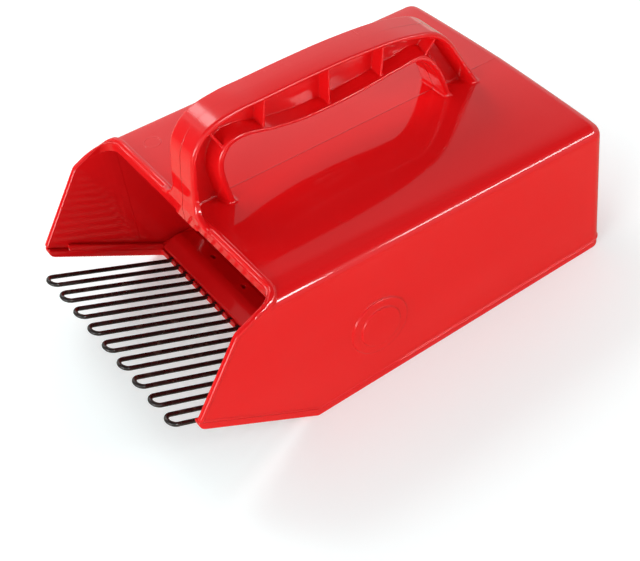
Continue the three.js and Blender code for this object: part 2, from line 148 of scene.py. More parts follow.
def curve_through(points: Sequence[Sequence[float]], spacing: float) -> Array:
    """Draws a centripetal Catmull-Rom curve through points of a plane.

    Args:
        points: The points, each of two coordinates.
        spacing: Longest step along the drawn curve.

    Returns:
        Points of the curve, one row each.
    """
    knots = np.asarray(points, float)
    ends = [2 * knots[0] - knots[1]], [2 * knots[-1] - knots[-2]]
    knots = np.concatenate([ends[0], knots, ends[1]])
    drawn = []
    for i in range(1, len(knots) - 2):
        p = knots[i - 1:i + 3]
        gaps = np.sqrt(np.linalg.norm(np.diff(p, axis=0), axis=1))
        first = gaps[1] * (
            (p[1] - p[0]) / gaps[0] - (p[2] - p[0]) / (gaps[0] + gaps[1]) + (p[2] - p[1]) / gaps[1])
        last = gaps[1] * (
            (p[2] - p[1]) / gaps[1] - (p[3] - p[1]) / (gaps[1] + gaps[2]) + (p[3] - p[2]) / gaps[2])
        steps = max(2, math.ceil(np.linalg.norm(p[2] - p[1]) / spacing))
        t = np.linspace(0, 1, steps, endpoint=False)[:, None]
        drawn.append(p[1] + first * t + (3 * (p[2] - p[1]) - 2 * first - last) * t**2
                     + (2 * (p[1] - p[2]) + first + last) * t**3)
    return np.concatenate([*drawn, knots[-2:-1]])


def rounded_outline(corners: Sequence[Sequence[float]], radii: Sequence[float]) -> Array:
    """Rounds each corner of a closed outline by its own radius.

    Args:
        corners: Corners of the outline, each of two coordinates.
        radii: A radius for each corner; zero leaves it sharp.

    Returns:
        Points of the rounded outline, one row each.
    """
    spots = np.asarray(corners, float)
    drawn = []
    for i, radius in enumerate(radii):
        corner = spots[i]
        back = spots[i - 1] - corner
        ahead = spots[(i + 1) % len(spots)] - corner
        back, ahead = back / np.linalg.norm(back), ahead / np.linalg.norm(ahead)
        half = math.acos(float(np.clip(back @ ahead, -1, 1))) / 2
        if radius == 0:
            drawn.append(corner[None])
            continue
        middle = (back + ahead) / np.linalg.norm(back + ahead)
        centre = corner + middle * radius / math.sin(half)
        start = corner + back * radius / math.tan(half) - centre
        end = corner + ahead * radius / math.tan(half) - centre
        sweep = math.atan2(start[0] * end[1] - start[1] * end[0], start @ end)
        turn = np.linspace(0, sweep, ARC_STEPS)[:, None]
        beside = np.array([-start[1], start[0]])
        drawn.append(centre + start * np.cos(turn) + beside * np.sin(turn))
    return np.concatenate(drawn)


@dataclass
class FlatMap:
    """Signed distance to a closed outline, kept on a fine grid over the side view.

    Attributes:
        outline: Points of the outline, one (y, z) row each.
        low: Lowest corner of the grid.
        high: Highest corner of the grid.
        pitch: Spacing of the grid.
        tile: Side of the squares of grid points that share one rough search.
        search: Stretches looked at on either side of the one that it finds.
        stretch: Longest stretch of the outline.
        values: The distances at the grid's points.
    """

    outline: Array
    low: Pair = (-66.0, -8.0)
    high: Pair = (184.0, 136.0)
    pitch: float = 0.25
    tile: int = 8
    search: int = 10
    stretch: float = 0.5
    values: Array = field(init=False)

    def __post_init__(self) -> None:
        """Fills the grid, looking first for the nearest stretch and then along it."""
        u = np.arange(self.low[0], self.high[0], self.pitch)
        v = np.arange(self.low[1], self.high[1], self.pitch)
        starts = self._divided()
        sides = np.roll(starts, -1, axis=0) - starts
        lengths = (sides ** 2).sum(1)
        across, up = self._tile_middles(u), self._tile_middles(v)
        away = (across[:, None, None] - starts[:, 0]) ** 2 + (up[:, None] - starts[:, 1]) ** 2
        nearest = away.argmin(2).repeat(self.tile, 0).repeat(self.tile, 1)[:len(u), :len(v)]
        best = np.full(nearest.shape, np.inf)
        for step in range(-self.search, self.search + 1):
            i = (nearest + step) % len(starts)
            du, dv = u[:, None] - starts[i, 0], v - starts[i, 1]
            share = np.clip((du * sides[i, 0] + dv * sides[i, 1]) / lengths[i], 0, 1)
            away = (du - share * sides[i, 0]) ** 2 + (dv - share * sides[i, 1]) ** 2
            best = np.minimum(best, away)
        inside = self._crossings(u, v)
        self.values = (np.sqrt(best) * np.where(inside, -1, 1)).astype(np.float32)

    def _tile_middles(self, places: Array) -> Array:
        """Middles of the tiles along one axis of the grid."""
        middles = np.arange(0, len(places), self.tile) + self.tile // 2
        return places[np.minimum(middles, len(places) - 1)]

    def _divided(self) -> Array:
        """Cuts the outline's long sides into short ones of like length.

        Returns:
            Starts of the short sides, one row each.
        """
        ends = np.roll(self.outline, -1, axis=0)
        parts = []
        for start, end in zip(self.outline, ends):
            count = max(1, math.ceil(np.linalg.norm(end - start) / self.stretch))
            parts.append(start + (end - start) * np.arange(count)[:, None] / count)
        return np.concatenate(parts)

    def _crossings(self, u: Array, v: Array) -> Array:
        """Tells which grid points lie inside, by counting the sides crossed below them.

        Args:
            u: Places of the grid along.
            v: Heights of the grid.

        Returns:
            True where a grid point is inside.
        """
        inside = np.zeros((len(u), len(v)), bool)
        for a, b in zip(self.outline, np.roll(self.outline, -1, axis=0)):
            rows = (a[0] > u) != (b[0] > u)
            if rows.any():
                height = a[1] + (u[rows] - a[0]) * (b[1] - a[1]) / (b[0] - a[0])
                inside[rows] ^= v[None, :] > height[:, None]
        return inside

    def at(self, y: Array, z: Array) -> Array:
        """Reads the distance at places of the side view.

        Args:
            y: Places along the body.
            z: Heights; both are broadcast against each other.

        Returns:
            Signed distances, negative inside the outline.
        """
        grid = self.values
        u = np.clip((y - self.low[0]) / self.pitch, 0, grid.shape[0] - LAST_CELL)
        v = np.clip((z - self.low[1]) / self.pitch, 0, grid.shape[1] - LAST_CELL)
        i, j = np.broadcast_arrays(u.astype(np.int32), v.astype(np.int32))
        a, b = u - i, v - j
        near = grid[i, j] * (1 - b) + grid[i, j + 1] * b
        far = grid[i + 1, j] * (1 - b) + grid[i + 1, j + 1] * b
        return near * (1 - a) + far * a


# --- Meshes ---


def graded(*stretches: Triple) -> Array:
    """Grid lines that follow each other at a spacing of their own in each stretch.

    Args:
        stretches: (from, to, spacing) triples, each starting where the last one ended.

    Returns:
        The places of the lines.
    """
    lines = [np.array([stretches[0][0]])]
    for low, high, spacing in stretches:
        count = max(1, round((high - low) / spacing))
        lines.append(low + (high - low) * np.arange(1, count + 1) / count)
    return np.concatenate(lines)


@dataclass
class Mould:
    """Turns a signed distance field into a smooth closed mesh.

    Attributes:
        name: Name of the mesh.
        form: The field, negative inside the solid.
        lines: Grid lines along x, y and z.
        faces: Most triangles that the mesh may have.
        probe: Step by which the field's slope is measured.
        plain: Least agreement of the normals round a face that counts as plain.
        rounds: Moves of the corners onto the surface, before the thinning and after it.
        longest_step: Longest such move along each axis.
        least_slope: Least squared slope that a move reckons with.
    """

    name: str
    form: Field
    lines: GridLines
    faces: int
    probe: float = 0.12
    plain: float = 0.9997
    rounds: int = 2
    longest_step: float = 0.5
    least_slope: float = 0.2

    def _slope(self, spots: Array) -> Array:
        """Measures the field's slope at places, one row each, from four points round each.

        Args:
            spots: Places, one row each.

        Returns:
            The slope at each place.
        """
        corners = np.array([[1, -1, -1], [-1, -1, 1], [-1, 1, -1], [1, 1, 1]], float)
        slope = np.zeros_like(spots)
        for corner in corners:
            value = self.form(*(spots + corner * self.probe).T)
            slope += value[:, None] * corner / (len(corners) * self.probe)
        return slope

    def _settled(self, spots: Array) -> Array:
        """Moves places onto the surface by a few short steps along the slope.

        Args:
            spots: Places, one row each.

        Returns:
            The moved places.
        """
        for _ in range(self.rounds):
            height = self.form(*spots.T)
            slope = self._slope(spots)
            steepness = np.maximum((slope ** 2).sum(1), self.least_slope)
            step = slope * (height / steepness)[:, None]
            spots = spots - np.clip(step, -self.longest_step, self.longest_step)
        return spots

    def _net(self) -> tuple[Array, Array]:
        """Wraps the solid in four-sided faces, one corner in each cell that it passes.

        Returns:
            Corner places and the faces' corner numbers.
        """
        x, y, z = self.lines
        grid = self.form(
            x[:, None, None].astype(np.float32), y[None, :, None].astype(np.float32),
            z[None, None, :].astype(np.float32))
        shape = np.array(grid.shape)
        cells = np.array([(shape[1] - 1) * (shape[2] - 1), shape[2] - 1, 1])
        inside = grid < 0
        owners, places, quads = [], [], []
        for axis in range(3):
            near = [slice(None)] * 3
            far = [slice(None)] * 3
            near[axis], far[axis] = slice(0, -1), slice(1, None)
            found = np.argwhere(inside[tuple(near)] != inside[tuple(far)])
            ahead = found.copy()
            ahead[:, axis] += 1
            start, end = grid[tuple(found.T)], grid[tuple(ahead.T)]
            share = start / (start - end)
            place = np.stack([self.lines[k][found[:, k]] for k in range(3)], 1)
            place[:, axis] += share * (self.lines[axis][ahead[:, axis]] - place[:, axis])
            b, c = cells[(axis + 1) % 3], cells[(axis + 2) % 3]
            base = found @ cells
            ring = np.stack([base - b - c, base - c, base, base - b], 1)
            ring[start > 0] = ring[start > 0][:, ::-1]
            owners.append(ring.reshape(-1))
            places.append(np.repeat(place, 4, axis=0))
            quads.append(ring)
        owner, place = np.concatenate(owners), np.concatenate(places)
        _, index = np.unique(owner, return_inverse=True)
        count = np.bincount(index)
        spots = np.stack([np.bincount(index, place[:, k]) / count for k in range(3)], 1)
        return spots, index.reshape(-1, 4)

    def _normals(self, spots: Array) -> Array:
        """Unit normals of the surface at places, taken from the field."""
        return unit_rows(self._slope(spots))

    def _plain_corners(self, spots: Array, quads: Array) -> Array:
        """Numbers of the corners that lie in plain stretches, away from edges and fillets.

        Args:
            spots: Places, one row each.
            quads: Corner numbers of the faces.

        Returns:
            Numbers of those corners.
        """
        around = self._normals(spots)[quads]
        mean = unit_rows(around.mean(1))
        bent = (around * mean[:, None]).sum(2).min(1) < self.plain
        marked = np.zeros(len(spots), bool)
        marked[quads[bent]] = True
        marked[quads[marked[quads].any(1)]] = True
        return np.flatnonzero(~marked)

    def mesh(self) -> bpy.types.Mesh:
        """Makes the mesh: net, thinning, settling and normals taken from the field.

        Returns:
            The mesh.
        """
        spots, quads = self._net()
        spots = self._settled(spots)
        rough = mesh_from(self.name, spots, quads)
        faces = 2 * len(quads)
        if faces > self.faces:
            rough = thinned(rough, self.faces / faces, self._plain_corners(spots, quads))
        rough.calc_loop_triangles()
        triangles = np.zeros(3 * len(rough.loop_triangles), np.int32)
        rough.loop_triangles.foreach_get("vertices", triangles)
        spots = np.zeros(3 * len(rough.vertices))
        rough.vertices.foreach_get("co", spots)
        bpy.data.meshes.remove(rough)
        spots = self._settled(spots.reshape(-1, 3))
        triangles = triangles.reshape(-1, 3)
        made = mesh_from(self.name, placed(spots), triangles)
        made.polygons.foreach_set("use_smooth", np.ones(len(made.polygons), bool))
        made.normals_split_custom_set_from_vertices(self._normals(spots).tolist())
        return made


def unit_rows(rows: Array) -> Array:
    """Scales each row to a length of one."""
    return rows / np.maximum(np.linalg.norm(rows, axis=1, keepdims=True), TINY)


def placed(spots: Array) -> Array:
    """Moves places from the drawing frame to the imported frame, in metres."""
    return (spots - np.array([0, ORIGIN_BACK, 0])) * MM


def mesh_from(name: str, spots: Array, faces: Array) -> bpy.types.Mesh:
    """Makes a mesh of faces that all have the same number of corners.

    Args:
        name: Name of the mesh.
        spots: Corner places, one row each.
        faces: Corner numbers, one row for each face.

    Returns:
        The mesh.
    """
    made = bpy.data.meshes.new(name)
    made.vertices.add(len(spots))
    made.vertices.foreach_set("co", np.ascontiguousarray(spots, np.float32).reshape(-1))
    made.loops.add(faces.size)
    made.loops.foreach_set("vertex_index", np.ascontiguousarray(faces, np.int32).reshape(-1))
    made.polygons.add(len(faces))
    starts = np.arange(0, faces.size, faces.shape[1], dtype=np.int32)
    made.polygons.foreach_set("loop_start", starts)
    made.update(calc_edges=True)
    made.validate()
    return made


def thinned(rough: bpy.types.Mesh, share: float, plain: Array) -> bpy.types.Mesh:
    """Collapses a mesh's plain stretches until a share of its triangles is left.

    Args:
        rough: The mesh, which is used up.
        share: Share of the triangles that stay.
        plain: Numbers of the corners that may go first.

    Returns:
        The lighter mesh.
    """
    holder = bpy.data.objects.new(rough.name, rough)
    bpy.context.scene.collection.objects.link(holder)
    group = holder.vertex_groups.new(name="plain")
    group.add(plain.tolist(), 1.0, "REPLACE")
    thinning = holder.modifiers.new("thinning", "DECIMATE")
    thinning.ratio = share
    thinning.vertex_group = group.name
    thinning.vertex_group_factor = PLAIN_FIRST
    graph = bpy.context.evaluated_depsgraph_get()
    light = bpy.data.meshes.new_from_object(holder.evaluated_get(graph))
    bpy.data.objects.remove(holder)
    bpy.data.meshes.remove(rough)
    return light


# --- Forms of the scoop ---


@dataclass
class Scoop:
    """Outer form that the housing and the floor share.

    Attributes:
        width: Width over the side walls.
        front_height: Height of the roof at the mouth, beside the crown.
        rear_height: Height of the roof at the rear, beside the crown.
        front_crown: Swell of the roof along its middle at the mouth.
        rear_crown: Swell of the roof along its middle at the rear.
        crease: Share of the swell that falls straight from the middle, as a faint ridge.
        shoulder_reach: Width of the strips beside the long edges in which the roof bends down.
        shoulder_bend: How fast it bends there, in drop over squared width.
        lift: How far this bend lets the roof stand above its heights at the edges.
        wall: Wall thickness.
        long_radius: Radius of the edges round the roof.
        rear_radius: Radius of the upright rear edges.
        shoulder: How far the cheeks' tops reach in front of the mouth.
        brow: How far the cheeks' upper corners reach.
        brow_drop: How far those corners lie below the roof.
        brow_radius: Rounding of those corners.
        tip: How far the cheeks' points reach.
        tip_height: Height of the points.
        tip_radius: Rounding of the points.
        inner_tip_radius: Rounding of the points inside the raised strips.
        heel: Where the cheeks' lower edges start, behind the mouth.
        seam: Height of the joint between floor and walls above the underside.
        beyond: How far the side view runs on past the body, where it cuts nothing.
    """

    width: float = 140
    front_height: float = 78.3
    rear_height: float = 70
    front_crown: float = 0.9
    rear_crown: float = 2.2
    crease: float = 0.35
    shoulder_reach: float = 12
    shoulder_bend: float = 0.0065
    lift: float = 0.4
    wall: float = 2.2
    long_radius: float = 5
    rear_radius: float = 6
    shoulder: float = 6
    brow: float = 21
    brow_drop: float = 6.4
    brow_radius: float = 6
    tip: float = 47.6
    tip_height: float = 34.4
    tip_radius: float = 5
    inner_tip_radius: float = 3.4
    heel: float = 8.8
    seam: float = 3.75
    beyond: float = 60

    def __post_init__(self) -> None:
        """Draws the side view's outline and the one inside the cheeks' raised strips."""
        self.half = self.width / 2
        self.inner_half = self.half - self.wall
        self.side = FlatMap(self._side_outline(0))
        self.inside_strip = FlatMap(self._side_outline(CheekStrip.width))

    def _side_outline(self, inset: float) -> Array:
        """Draws the side view, its shoulder and front edge moved in by a distance.

        Args:
            inset: How far those edges move in.

        Returns:
            Points of the outline.
        """
        slope = self.brow_drop / (self.brow - self.shoulder)
        top = self.front_height + self.beyond
        end = BODY_LENGTH + self.beyond
        brow_spot = (-self.brow, self.front_height - self.brow_drop)
        tip_spot = (-self.tip, self.tip_height)
        lower = self._line(tip_spot, (self.heel, 0))
        edges = (
            self._line((-self.shoulder + self.beyond / slope, top), brow_spot),
            self._line(brow_spot, tip_spot))
        shoulder, front = [(normal, offset + inset) for normal, offset in edges]
        high = self._meeting(shoulder, (np.array([0.0, 1.0]), -top))
        brow = self._meeting(shoulder, front)
        tip = self._meeting(front, lower)
        tip_radius = self.inner_tip_radius if inset else self.tip_radius
        corners = [(end, 0), (end, top), high, brow, tip, (self.heel, 0)]
        return rounded_outline(corners, [0, 0, 0, self.brow_radius, tip_radius, 0])

    @staticmethod
    def _line(start: Sequence[float], end: Sequence[float]) -> tuple[Array, float]:
        """The line through two points as (outward normal, offset), distances growing outwards.

        Args:
            start: First point.
            end: Second point.

        Returns:
            The normal and the offset.
        """
        along = np.subtract(end, start) / np.linalg.norm(np.subtract(end, start))
        normal = np.array([along[1], -along[0]])
        return normal, -float(normal @ np.asarray(start, float))

    @staticmethod
    def _meeting(one: tuple[Array, float], other: tuple[Array, float]) -> Array:
        """The point in which two lines cross."""
        return np.linalg.solve(np.stack([one[0], other[0]]), [-one[1], -other[1]])

    def roof(self, x: Array, y: Array) -> Array:
        """Height of the roof, which falls to the rear and swells along its middle.

        Args:
            x: Places across.
            y: Places along.

        Returns:
            Heights of the roof.
        """
        back = y / BODY_LENGTH
        crown = self.front_crown + (self.rear_crown - self.front_crown) * back
        out = np.abs(x) / self.half
        swell = 1 - (1 - self.crease) * out**2 - self.crease * out
        into_strip = np.maximum(np.abs(x) - self.half + self.shoulder_reach, 0)
        bend = self.shoulder_bend * into_strip ** 2
        top = self.front_height + (self.rear_height - self.front_height) * back
        return top + self.lift + crown * swell - bend

    def block(self, x: Array, y: Array, z: Array, grown: float = 0, raised: float = 0) -> Array:
        """Distance to the closed outer form.

        Args:
            x: Places across.
            y: Places along.
            z: Heights.
            grown: How far the sides and the rear stand out from it.
            raised: How far the top stands above it.

        Returns:
            Signed distances.
        """
        side = np.abs(x) - self.half - grown
        rear = y - BODY_LENGTH - grown
        walls = rounded_both(side, rear, self.rear_radius)
        return rounded_both(walls, z - self.roof(x, y) - raised, self.long_radius)

    def underside(self, y: Array, z: Array) -> Array:
        """Distance below the underside and the cheeks' lower edges, negative above them."""
        normal, offset = self._line((-self.tip, self.tip_height), (self.heel, 0))
        return np.maximum(-z, normal[0] * y + normal[1] * z + offset)


@dataclass(frozen=True)
class CheekStrip:
    """Raised strip along the cheeks' outer edges.

    Attributes:
        width: Width of the strip.
        proud: How far it stands out of the cheek.
        edge: Rounding of its edges.
    """

    width: float = 1.8
    proud: float = 0.6
    edge: float = 0.3


@dataclass(frozen=True)
class Mouth:
    """Rim of the opening over the comb: a lip turned down, a ledge and a raised band.

    Attributes:
        reach: Half the opening's width.
        corner: Radius of its two rear corners.
        ledge: Depth of the ledge in front of the band.
        lip_low: Height of the lip's lower edge.
        band_depth: Depth of the band.
        band_proud: How far the band stands above the roof.
        band_round: Rounding of the band.
        edge: Rounding of the rim's edges.
    """

    reach: float = 67.8
    corner: float = 7
    ledge: float = 1.1
    lip_low: float = 73.3
    band_depth: float = 2.9
    band_proud: float = 1.4
    band_round: float = 1.1
    edge: float = 0.7

    def plan(self, x: Array, y: Array) -> Array:
        """Distance to the opening seen from above, negative inside it.

        Args:
            x: Places across.
            y: Places along.

        Returns:
            Signed distances.
        """
        across = np.abs(x) - (self.reach - self.corner)
        along = y + self.ledge + self.corner
        out = np.hypot(np.maximum(across, 0), np.maximum(along, 0))
        return out + np.minimum(np.maximum(across, along), 0) - self.corner


@dataclass(frozen=True)
class Plaque:
    """Round two-step plaque on each side wall.

    Attributes:
        back: How far its middle lies behind the mouth.
        height: Height of its middle.
        radii: Radii of its two discs.
        proud: How far each disc stands out of the wall.
        edge: Rounding of the discs and of the fillet between them.
        root: How deep the discs reach into the wall.
    """

    back: float = 45.3
    height: float = 32.3
    radii: Pair = (14.5, 10.2)
    proud: Pair = (0.8, 1.6)
    edge: float = 0.35
    root: float = 1

    def field(self, scoop: Scoop, x: Array, y: Array, z: Array) -> Array:
        """Distance to the raised discs of both walls.

        Args:
            scoop: The outer form.
            x: Places across.
            y: Places along.
            z: Heights.

        Returns:
            Signed distances.
        """
        out = np.hypot(y - self.back, z - self.height)
        side = np.abs(x) - scoop.half
        discs = [
            np.maximum(rounded_both(out - radius, side - proud, self.edge), -side - self.root)
            for radius, proud in zip(self.radii, self.proud)]
        return filleted_either(discs[0], discs[1], self.edge)


@dataclass(frozen=True)
class Post:
    """Screw posts inside the housing, two on each side wall.

    Attributes:
        radius: Radius of a post.
        top: Height of its top.
        edge: Rounding of its top.
        fillet: Fillet between a post and the wall.
        fillet_ends: Depths in the hollow between which that fillet grows.
        pilot: Radius of the hole for the screw.
        pilot_top: Height of the hole's end.
        across: Distance of the posts from the middle.
        along: Places of the posts behind the mouth.
    """

    radius: float = 4
    top: float = 19.9
    edge: float = 0.5
    fillet: float = 0.6
    fillet_ends: Pair = (-60, -1)
    pilot: float = 1.7
    pilot_top: float = 15.6
    across: float = 64.6
    along: Pair = (36.9, 168.8)

    def out(self, x: Array, y: Array) -> Array:
        """Distance from the axis of the nearest post."""
        near = [np.hypot(np.abs(x) - self.across, y - place) for place in self.along]
        return np.minimum(*near)


@dataclass(frozen=True)
class FrontFoot:
    """Foot of the handle's front leg, which runs down over the band to the lip.

    Attributes:
        reach: How far the leg stands in front of the side view's line.
        reach_ends: Heights between which that falls away upwards.
        step: How much further the foot stands out.
        step_ends: Heights between which that falls away upwards.
        back_ends: Places along the body between which both fall away to the rear.
        nose_back: How far back the nose in front of the lip reaches.
        nose_lift: How far it ends above the lip's lower edge.
        nose_edge: Rounding of that end.
        radius: Fillet between the leg's sides and the band over the mouth.
        under: How far that fillet's front lies under the leg's outer face.
        rear_edge: Rounding of its rear edge.
        sink: How far it starts below the roof.
        top: Height at which it ends.
        back: How far back it may reach.
        margin: How far past its own radius it may reach across.
    """

    reach: float = 1.5
    reach_ends: Pair = (104, 120)
    step: float = 0.35
    step_ends: Pair = (80, 96)
    back_ends: Pair = (20, 40)
    nose_back: float = 1
    nose_lift: float = 0.1
    nose_edge: float = 0.8
    radius: float = 9
    under: float = 0.03
    rear_edge: float = 0.45
    sink: float = 1.5
    top: float = 94
    back: float = 12
    margin: float = 1

    def ahead(self, y: Array, z: Array) -> Array:
        """How far the leg stands in front of the side view's line at a place.

        Args:
            y: Places along.
            z: Heights.

        Returns:
            Distances forwards.
        """
        reach = self.reach * (1 - eased(*self.reach_ends, z))
        step = self.step * (1 - eased(*self.step_ends, z))
        return (reach + step) * (1 - eased(*self.back_ends, y))


@dataclass
class Handle:
    """Handle of I section along the roof's middle, drawn by its side view.

    Attributes:
        width: Width over the flanges.
        length: Length along the roof that the shares of the outlines refer to.
        rise: Rise above the roof that the shares refer to.
        crown: Swell of the outer face across the grip.
        crown_loss: Share of that swell that the legs lose.
        crown_limit: Squared share of the half width past which it falls no further.
        flange: Flange thickness at its edges.
        flange_draft: Growth of that thickness towards the web.
        leg_flange: Growth of both on the legs.
        web: Web thickness.
        rib: Rib thickness.
        rib_set: How far the ribs' edges lie behind the flanges' edges.
        rib_reach: How far a rib runs from its middle before it ends.
        edge: Rounding of the flanges' outer edges.
        leg_edge: Growth of that rounding on the legs.
        gap_edge: Rounding of the edges round the hand gap.
        pocket_edge: Rounding of the pockets' outer edges.
        leg_round: Growth of both roundings on the legs.
        corner: Fillet where a pocket's two flanges meet.
        leg_fillet: Growth of that fillet on the legs.
        rib_fillet: Fillet between the ribs and the flanges.
        web_fillet: Fillet between the web and what stands on it.
        root: How deep the feet reach into the roof.
        root_line: Height to which the side view's lines run on below.
        front_step: How far the outer line steps out where it runs on below.
        spacing: Longest step along the side view's lines.
        leg_ends: Where the front leg passes into the grip, and the grip into the rear leg.
        foot: The front leg's foot.
        outer_shares: The outer line, as shares of the length and the rise.
        inner_shares: The line round the hand gap, as such shares.
        rib_shares: Where each rib meets the outer and the inner line, as shares of them.
    """

    width: float = 18.8
    length: float = 154
    rise: float = 45
    crown: float = 0.35
    crown_loss: float = 0.8
    crown_limit: float = 1.2
    flange: float = 1.35
    flange_draft: float = 0.9
    leg_flange: float = 1.3
    web: float = 2.4
    rib: float = 1.2
    rib_set: float = 1.3
    rib_reach: float = 14
    edge: float = 0.9
    leg_edge: float = 0.6
    gap_edge: float = 0.45
    pocket_edge: float = 0.35
    leg_round: float = 0.5
    corner: float = 0.5
    leg_fillet: float = 2.4
    rib_fillet: float = 0.3
    web_fillet: float = 0.15
    root: float = 0.9
    root_line: float = -30
    front_step: float = 0.3
    spacing: float = 0.4
    leg_ends: tuple = ((18, 38), (108, 124))
    foot: FrontFoot = FrontFoot()
    outer_shares: tuple = (
        (0, 0.06), (0.008, 0.181), (0.013, 0.364), (0.02, 0.513), (0.034, 0.751),
        (0.067, 0.893), (0.112, 0.967), (0.186, 1), (0.256, 1), (0.401, 1.006), (0.549, 0.997),
        (0.701, 0.953), (0.778, 0.9), (0.84, 0.828), (0.886, 0.685), (0.931, 0.405), (0.985, 0.024),
        (0.991, -0.02))
    inner_shares: tuple = (
        (0.126, -0.02), (0.124, 0.01), (0.112, 0.265), (0.11, 0.455), (0.119, 0.547),
        (0.146, 0.65), (0.197, 0.672), (0.28, 0.606), (0.382, 0.553), (0.495, 0.545),
        (0.612, 0.565), (0.691, 0.592), (0.771, 0.588), (0.802, 0.525), (0.838, 0.318),
        (0.865, 0.008), (0.868, -0.02))
    rib_shares: tuple = (
        (0.205, 0.177), (0.349, 0.3), (0.505, 0.508), (0.644, 0.679), (0.794, 0.819))

    def draw(self, scoop: Scoop) -> None:
        """Draws the side view over the scoop's roof.

        Args:
            scoop: The outer form.
        """
        outer = self._over(scoop, self.outer_shares)
        inner = self._over(scoop, self.inner_shares)
        self.ribs = []
        for outer_share, inner_share in self.rib_shares:
            self.ribs.append((self._along(outer, outer_share), self._along(inner, inner_share)))
        self.outer = self._closed(outer, self.front_step)
        self.inner = self._closed(inner, 0)

    def _closed(self, line: Array, step: float) -> FlatMap:
        """Closes a side view's line below the roof and maps the distance to it.

        Args:
            line: Points of the line.
            step: How far its start steps out below.

        Returns:
            The distance to the closed line.
        """
        start = (line[0][0] - step, self.root_line)
        end = (line[-1][0], self.root_line)
        return FlatMap(np.concatenate([[start], line, [end]]))

    def _over(self, scoop: Scoop, shares: Sequence[Sequence[float]]) -> Array:
        """Draws one of the side view's lines over the roof.

        Args:
            scoop: The outer form.
            shares: Points as shares of the length and the rise.

        Returns:
            Points of the drawn line.
        """
        spots = []
        for along, up in shares:
            y = along * self.length
            roof = float(scoop.roof(np.array(0.0), np.array(y)))
            spots.append((y, roof - scoop.lift + up * self.rise))
        return curve_through(spots, self.spacing)

    @staticmethod
    def _along(line: Array, share: float) -> Array:
        """The point at a share of a line's length."""
        run = np.concatenate([[0], np.cumsum(np.linalg.norm(np.diff(line, axis=0), axis=1))])
        return np.array([np.interp(share * run[-1], run, line[:, k]) for k in range(2)])

    def _between_ribs(self, y: Array, z: Array) -> Array:
        """Distance to the space between the ribs, negative in it.

        Args:
            y: Places along.
            z: Heights.

        Returns:
            Signed distances.
        """
        far_inside = -50.0
        space = np.full(np.broadcast(y, z).shape, far_inside, np.float32)
        for start, end in self.ribs:
            length = np.linalg.norm(end - start)
            along = (end - start) / length
            beside = np.abs((y - start[0]) * along[1] - (z - start[1]) * along[0])
            run = (y - start[0]) * along[0] + (z - start[1]) * along[1]
            past = np.maximum(np.abs(run - length / 2) - self.rib_reach, 0)
            space = np.maximum(space, self.rib / 2 - np.hypot(beside, past))
        return space

    def on_leg(self, y: Array) -> Array:
        """One on the two legs and zero along the grip."""
        front, rear = self.leg_ends
        return 1 - eased(*front, y) + eased(*rear, y)

    def _pockets(self, outer: Array, gap: Array, x: Array, y: Array, z: Array) -> Array:
        """Distance to the pockets beside the web.

        Args:
            outer: Distance to the side view's outer line.
            gap: Distance to its hand gap.
            x: Places across.
            y: Places along.
            z: Heights.

        Returns:
            Signed distances, negative in a pocket.
        """
        leg = self.on_leg(y)
        half = self.width / 2
        aside = np.abs(x) - half
        flange = self.flange + self.leg_flange * leg + (
            self.flange_draft + self.leg_flange * leg) * np.clip(-aside / half, 0, 1)
        frame = rounded_both(outer + flange, flange - gap, self.corner + self.leg_fillet * leg)
        clear = -np.maximum(-self._between_ribs(y, z), aside + self.rib_set)
        pocket = rounded_both(frame, clear, self.rib_fillet)
        return rounded_both(pocket, self.web / 2 - np.abs(x), self.web_fillet)

    def field(self, scoop: Scoop, mouth: Mouth, x: Array, y: Array, z: Array) -> Array:
        """Distance to the handle with its feet, which reach a little into the roof.

        Args:
            scoop: The form that it stands on.
            mouth: The rim that its front leg covers.
            x: Places across.
            y: Places along.
            z: Heights.

        Returns:
            Signed distances, negative inside the plastic.
        """
        foot = self.foot
        roof = scoop.roof(x, y)
        outer = self.outer.at(y, z) - foot.ahead(y, z)
        gap = self.inner.at(y, z)
        leg = self.on_leg(y)
        half = self.width / 2
        aside = np.abs(x) - half
        edge = self.edge + self.leg_edge * leg
        swell = 1 - np.minimum((x / half) ** 2, self.crown_limit)
        swollen = outer - self.crown * (1 - self.crown_loss * leg) * swell
        grip = rounded_both(swollen, aside, edge)
        solid = rounded_both(grip, -gap, self.gap_edge + self.leg_round * leg)
        pockets = self._pockets(outer, gap, x, y, z)
        solid = rounded_both(solid, -pockets, self.pocket_edge + self.leg_round * leg)
        solid = np.maximum(solid, roof - self.root - z)
        nose = np.maximum(grip, y - foot.nose_back)
        nose = rounded_both(nose, mouth.lip_low + foot.nose_lift - z, foot.nose_edge)
        spread = filleted_either(aside, z - roof - mouth.band_proud, foot.radius)
        flare = rounded_both(swollen + foot.under, spread, edge)
        flare = rounded_both(flare, -outer - mouth.band_depth, foot.rear_edge)
        flare = np.maximum(flare, slab(z, scoop.front_height - foot.sink, foot.top))
        flare = np.maximum(flare, y - foot.back)
        flare = np.maximum(flare, np.abs(x) - half - foot.radius - foot.margin)
        return np.minimum(np.minimum(solid, nose), flare)


# --- Pieces ---


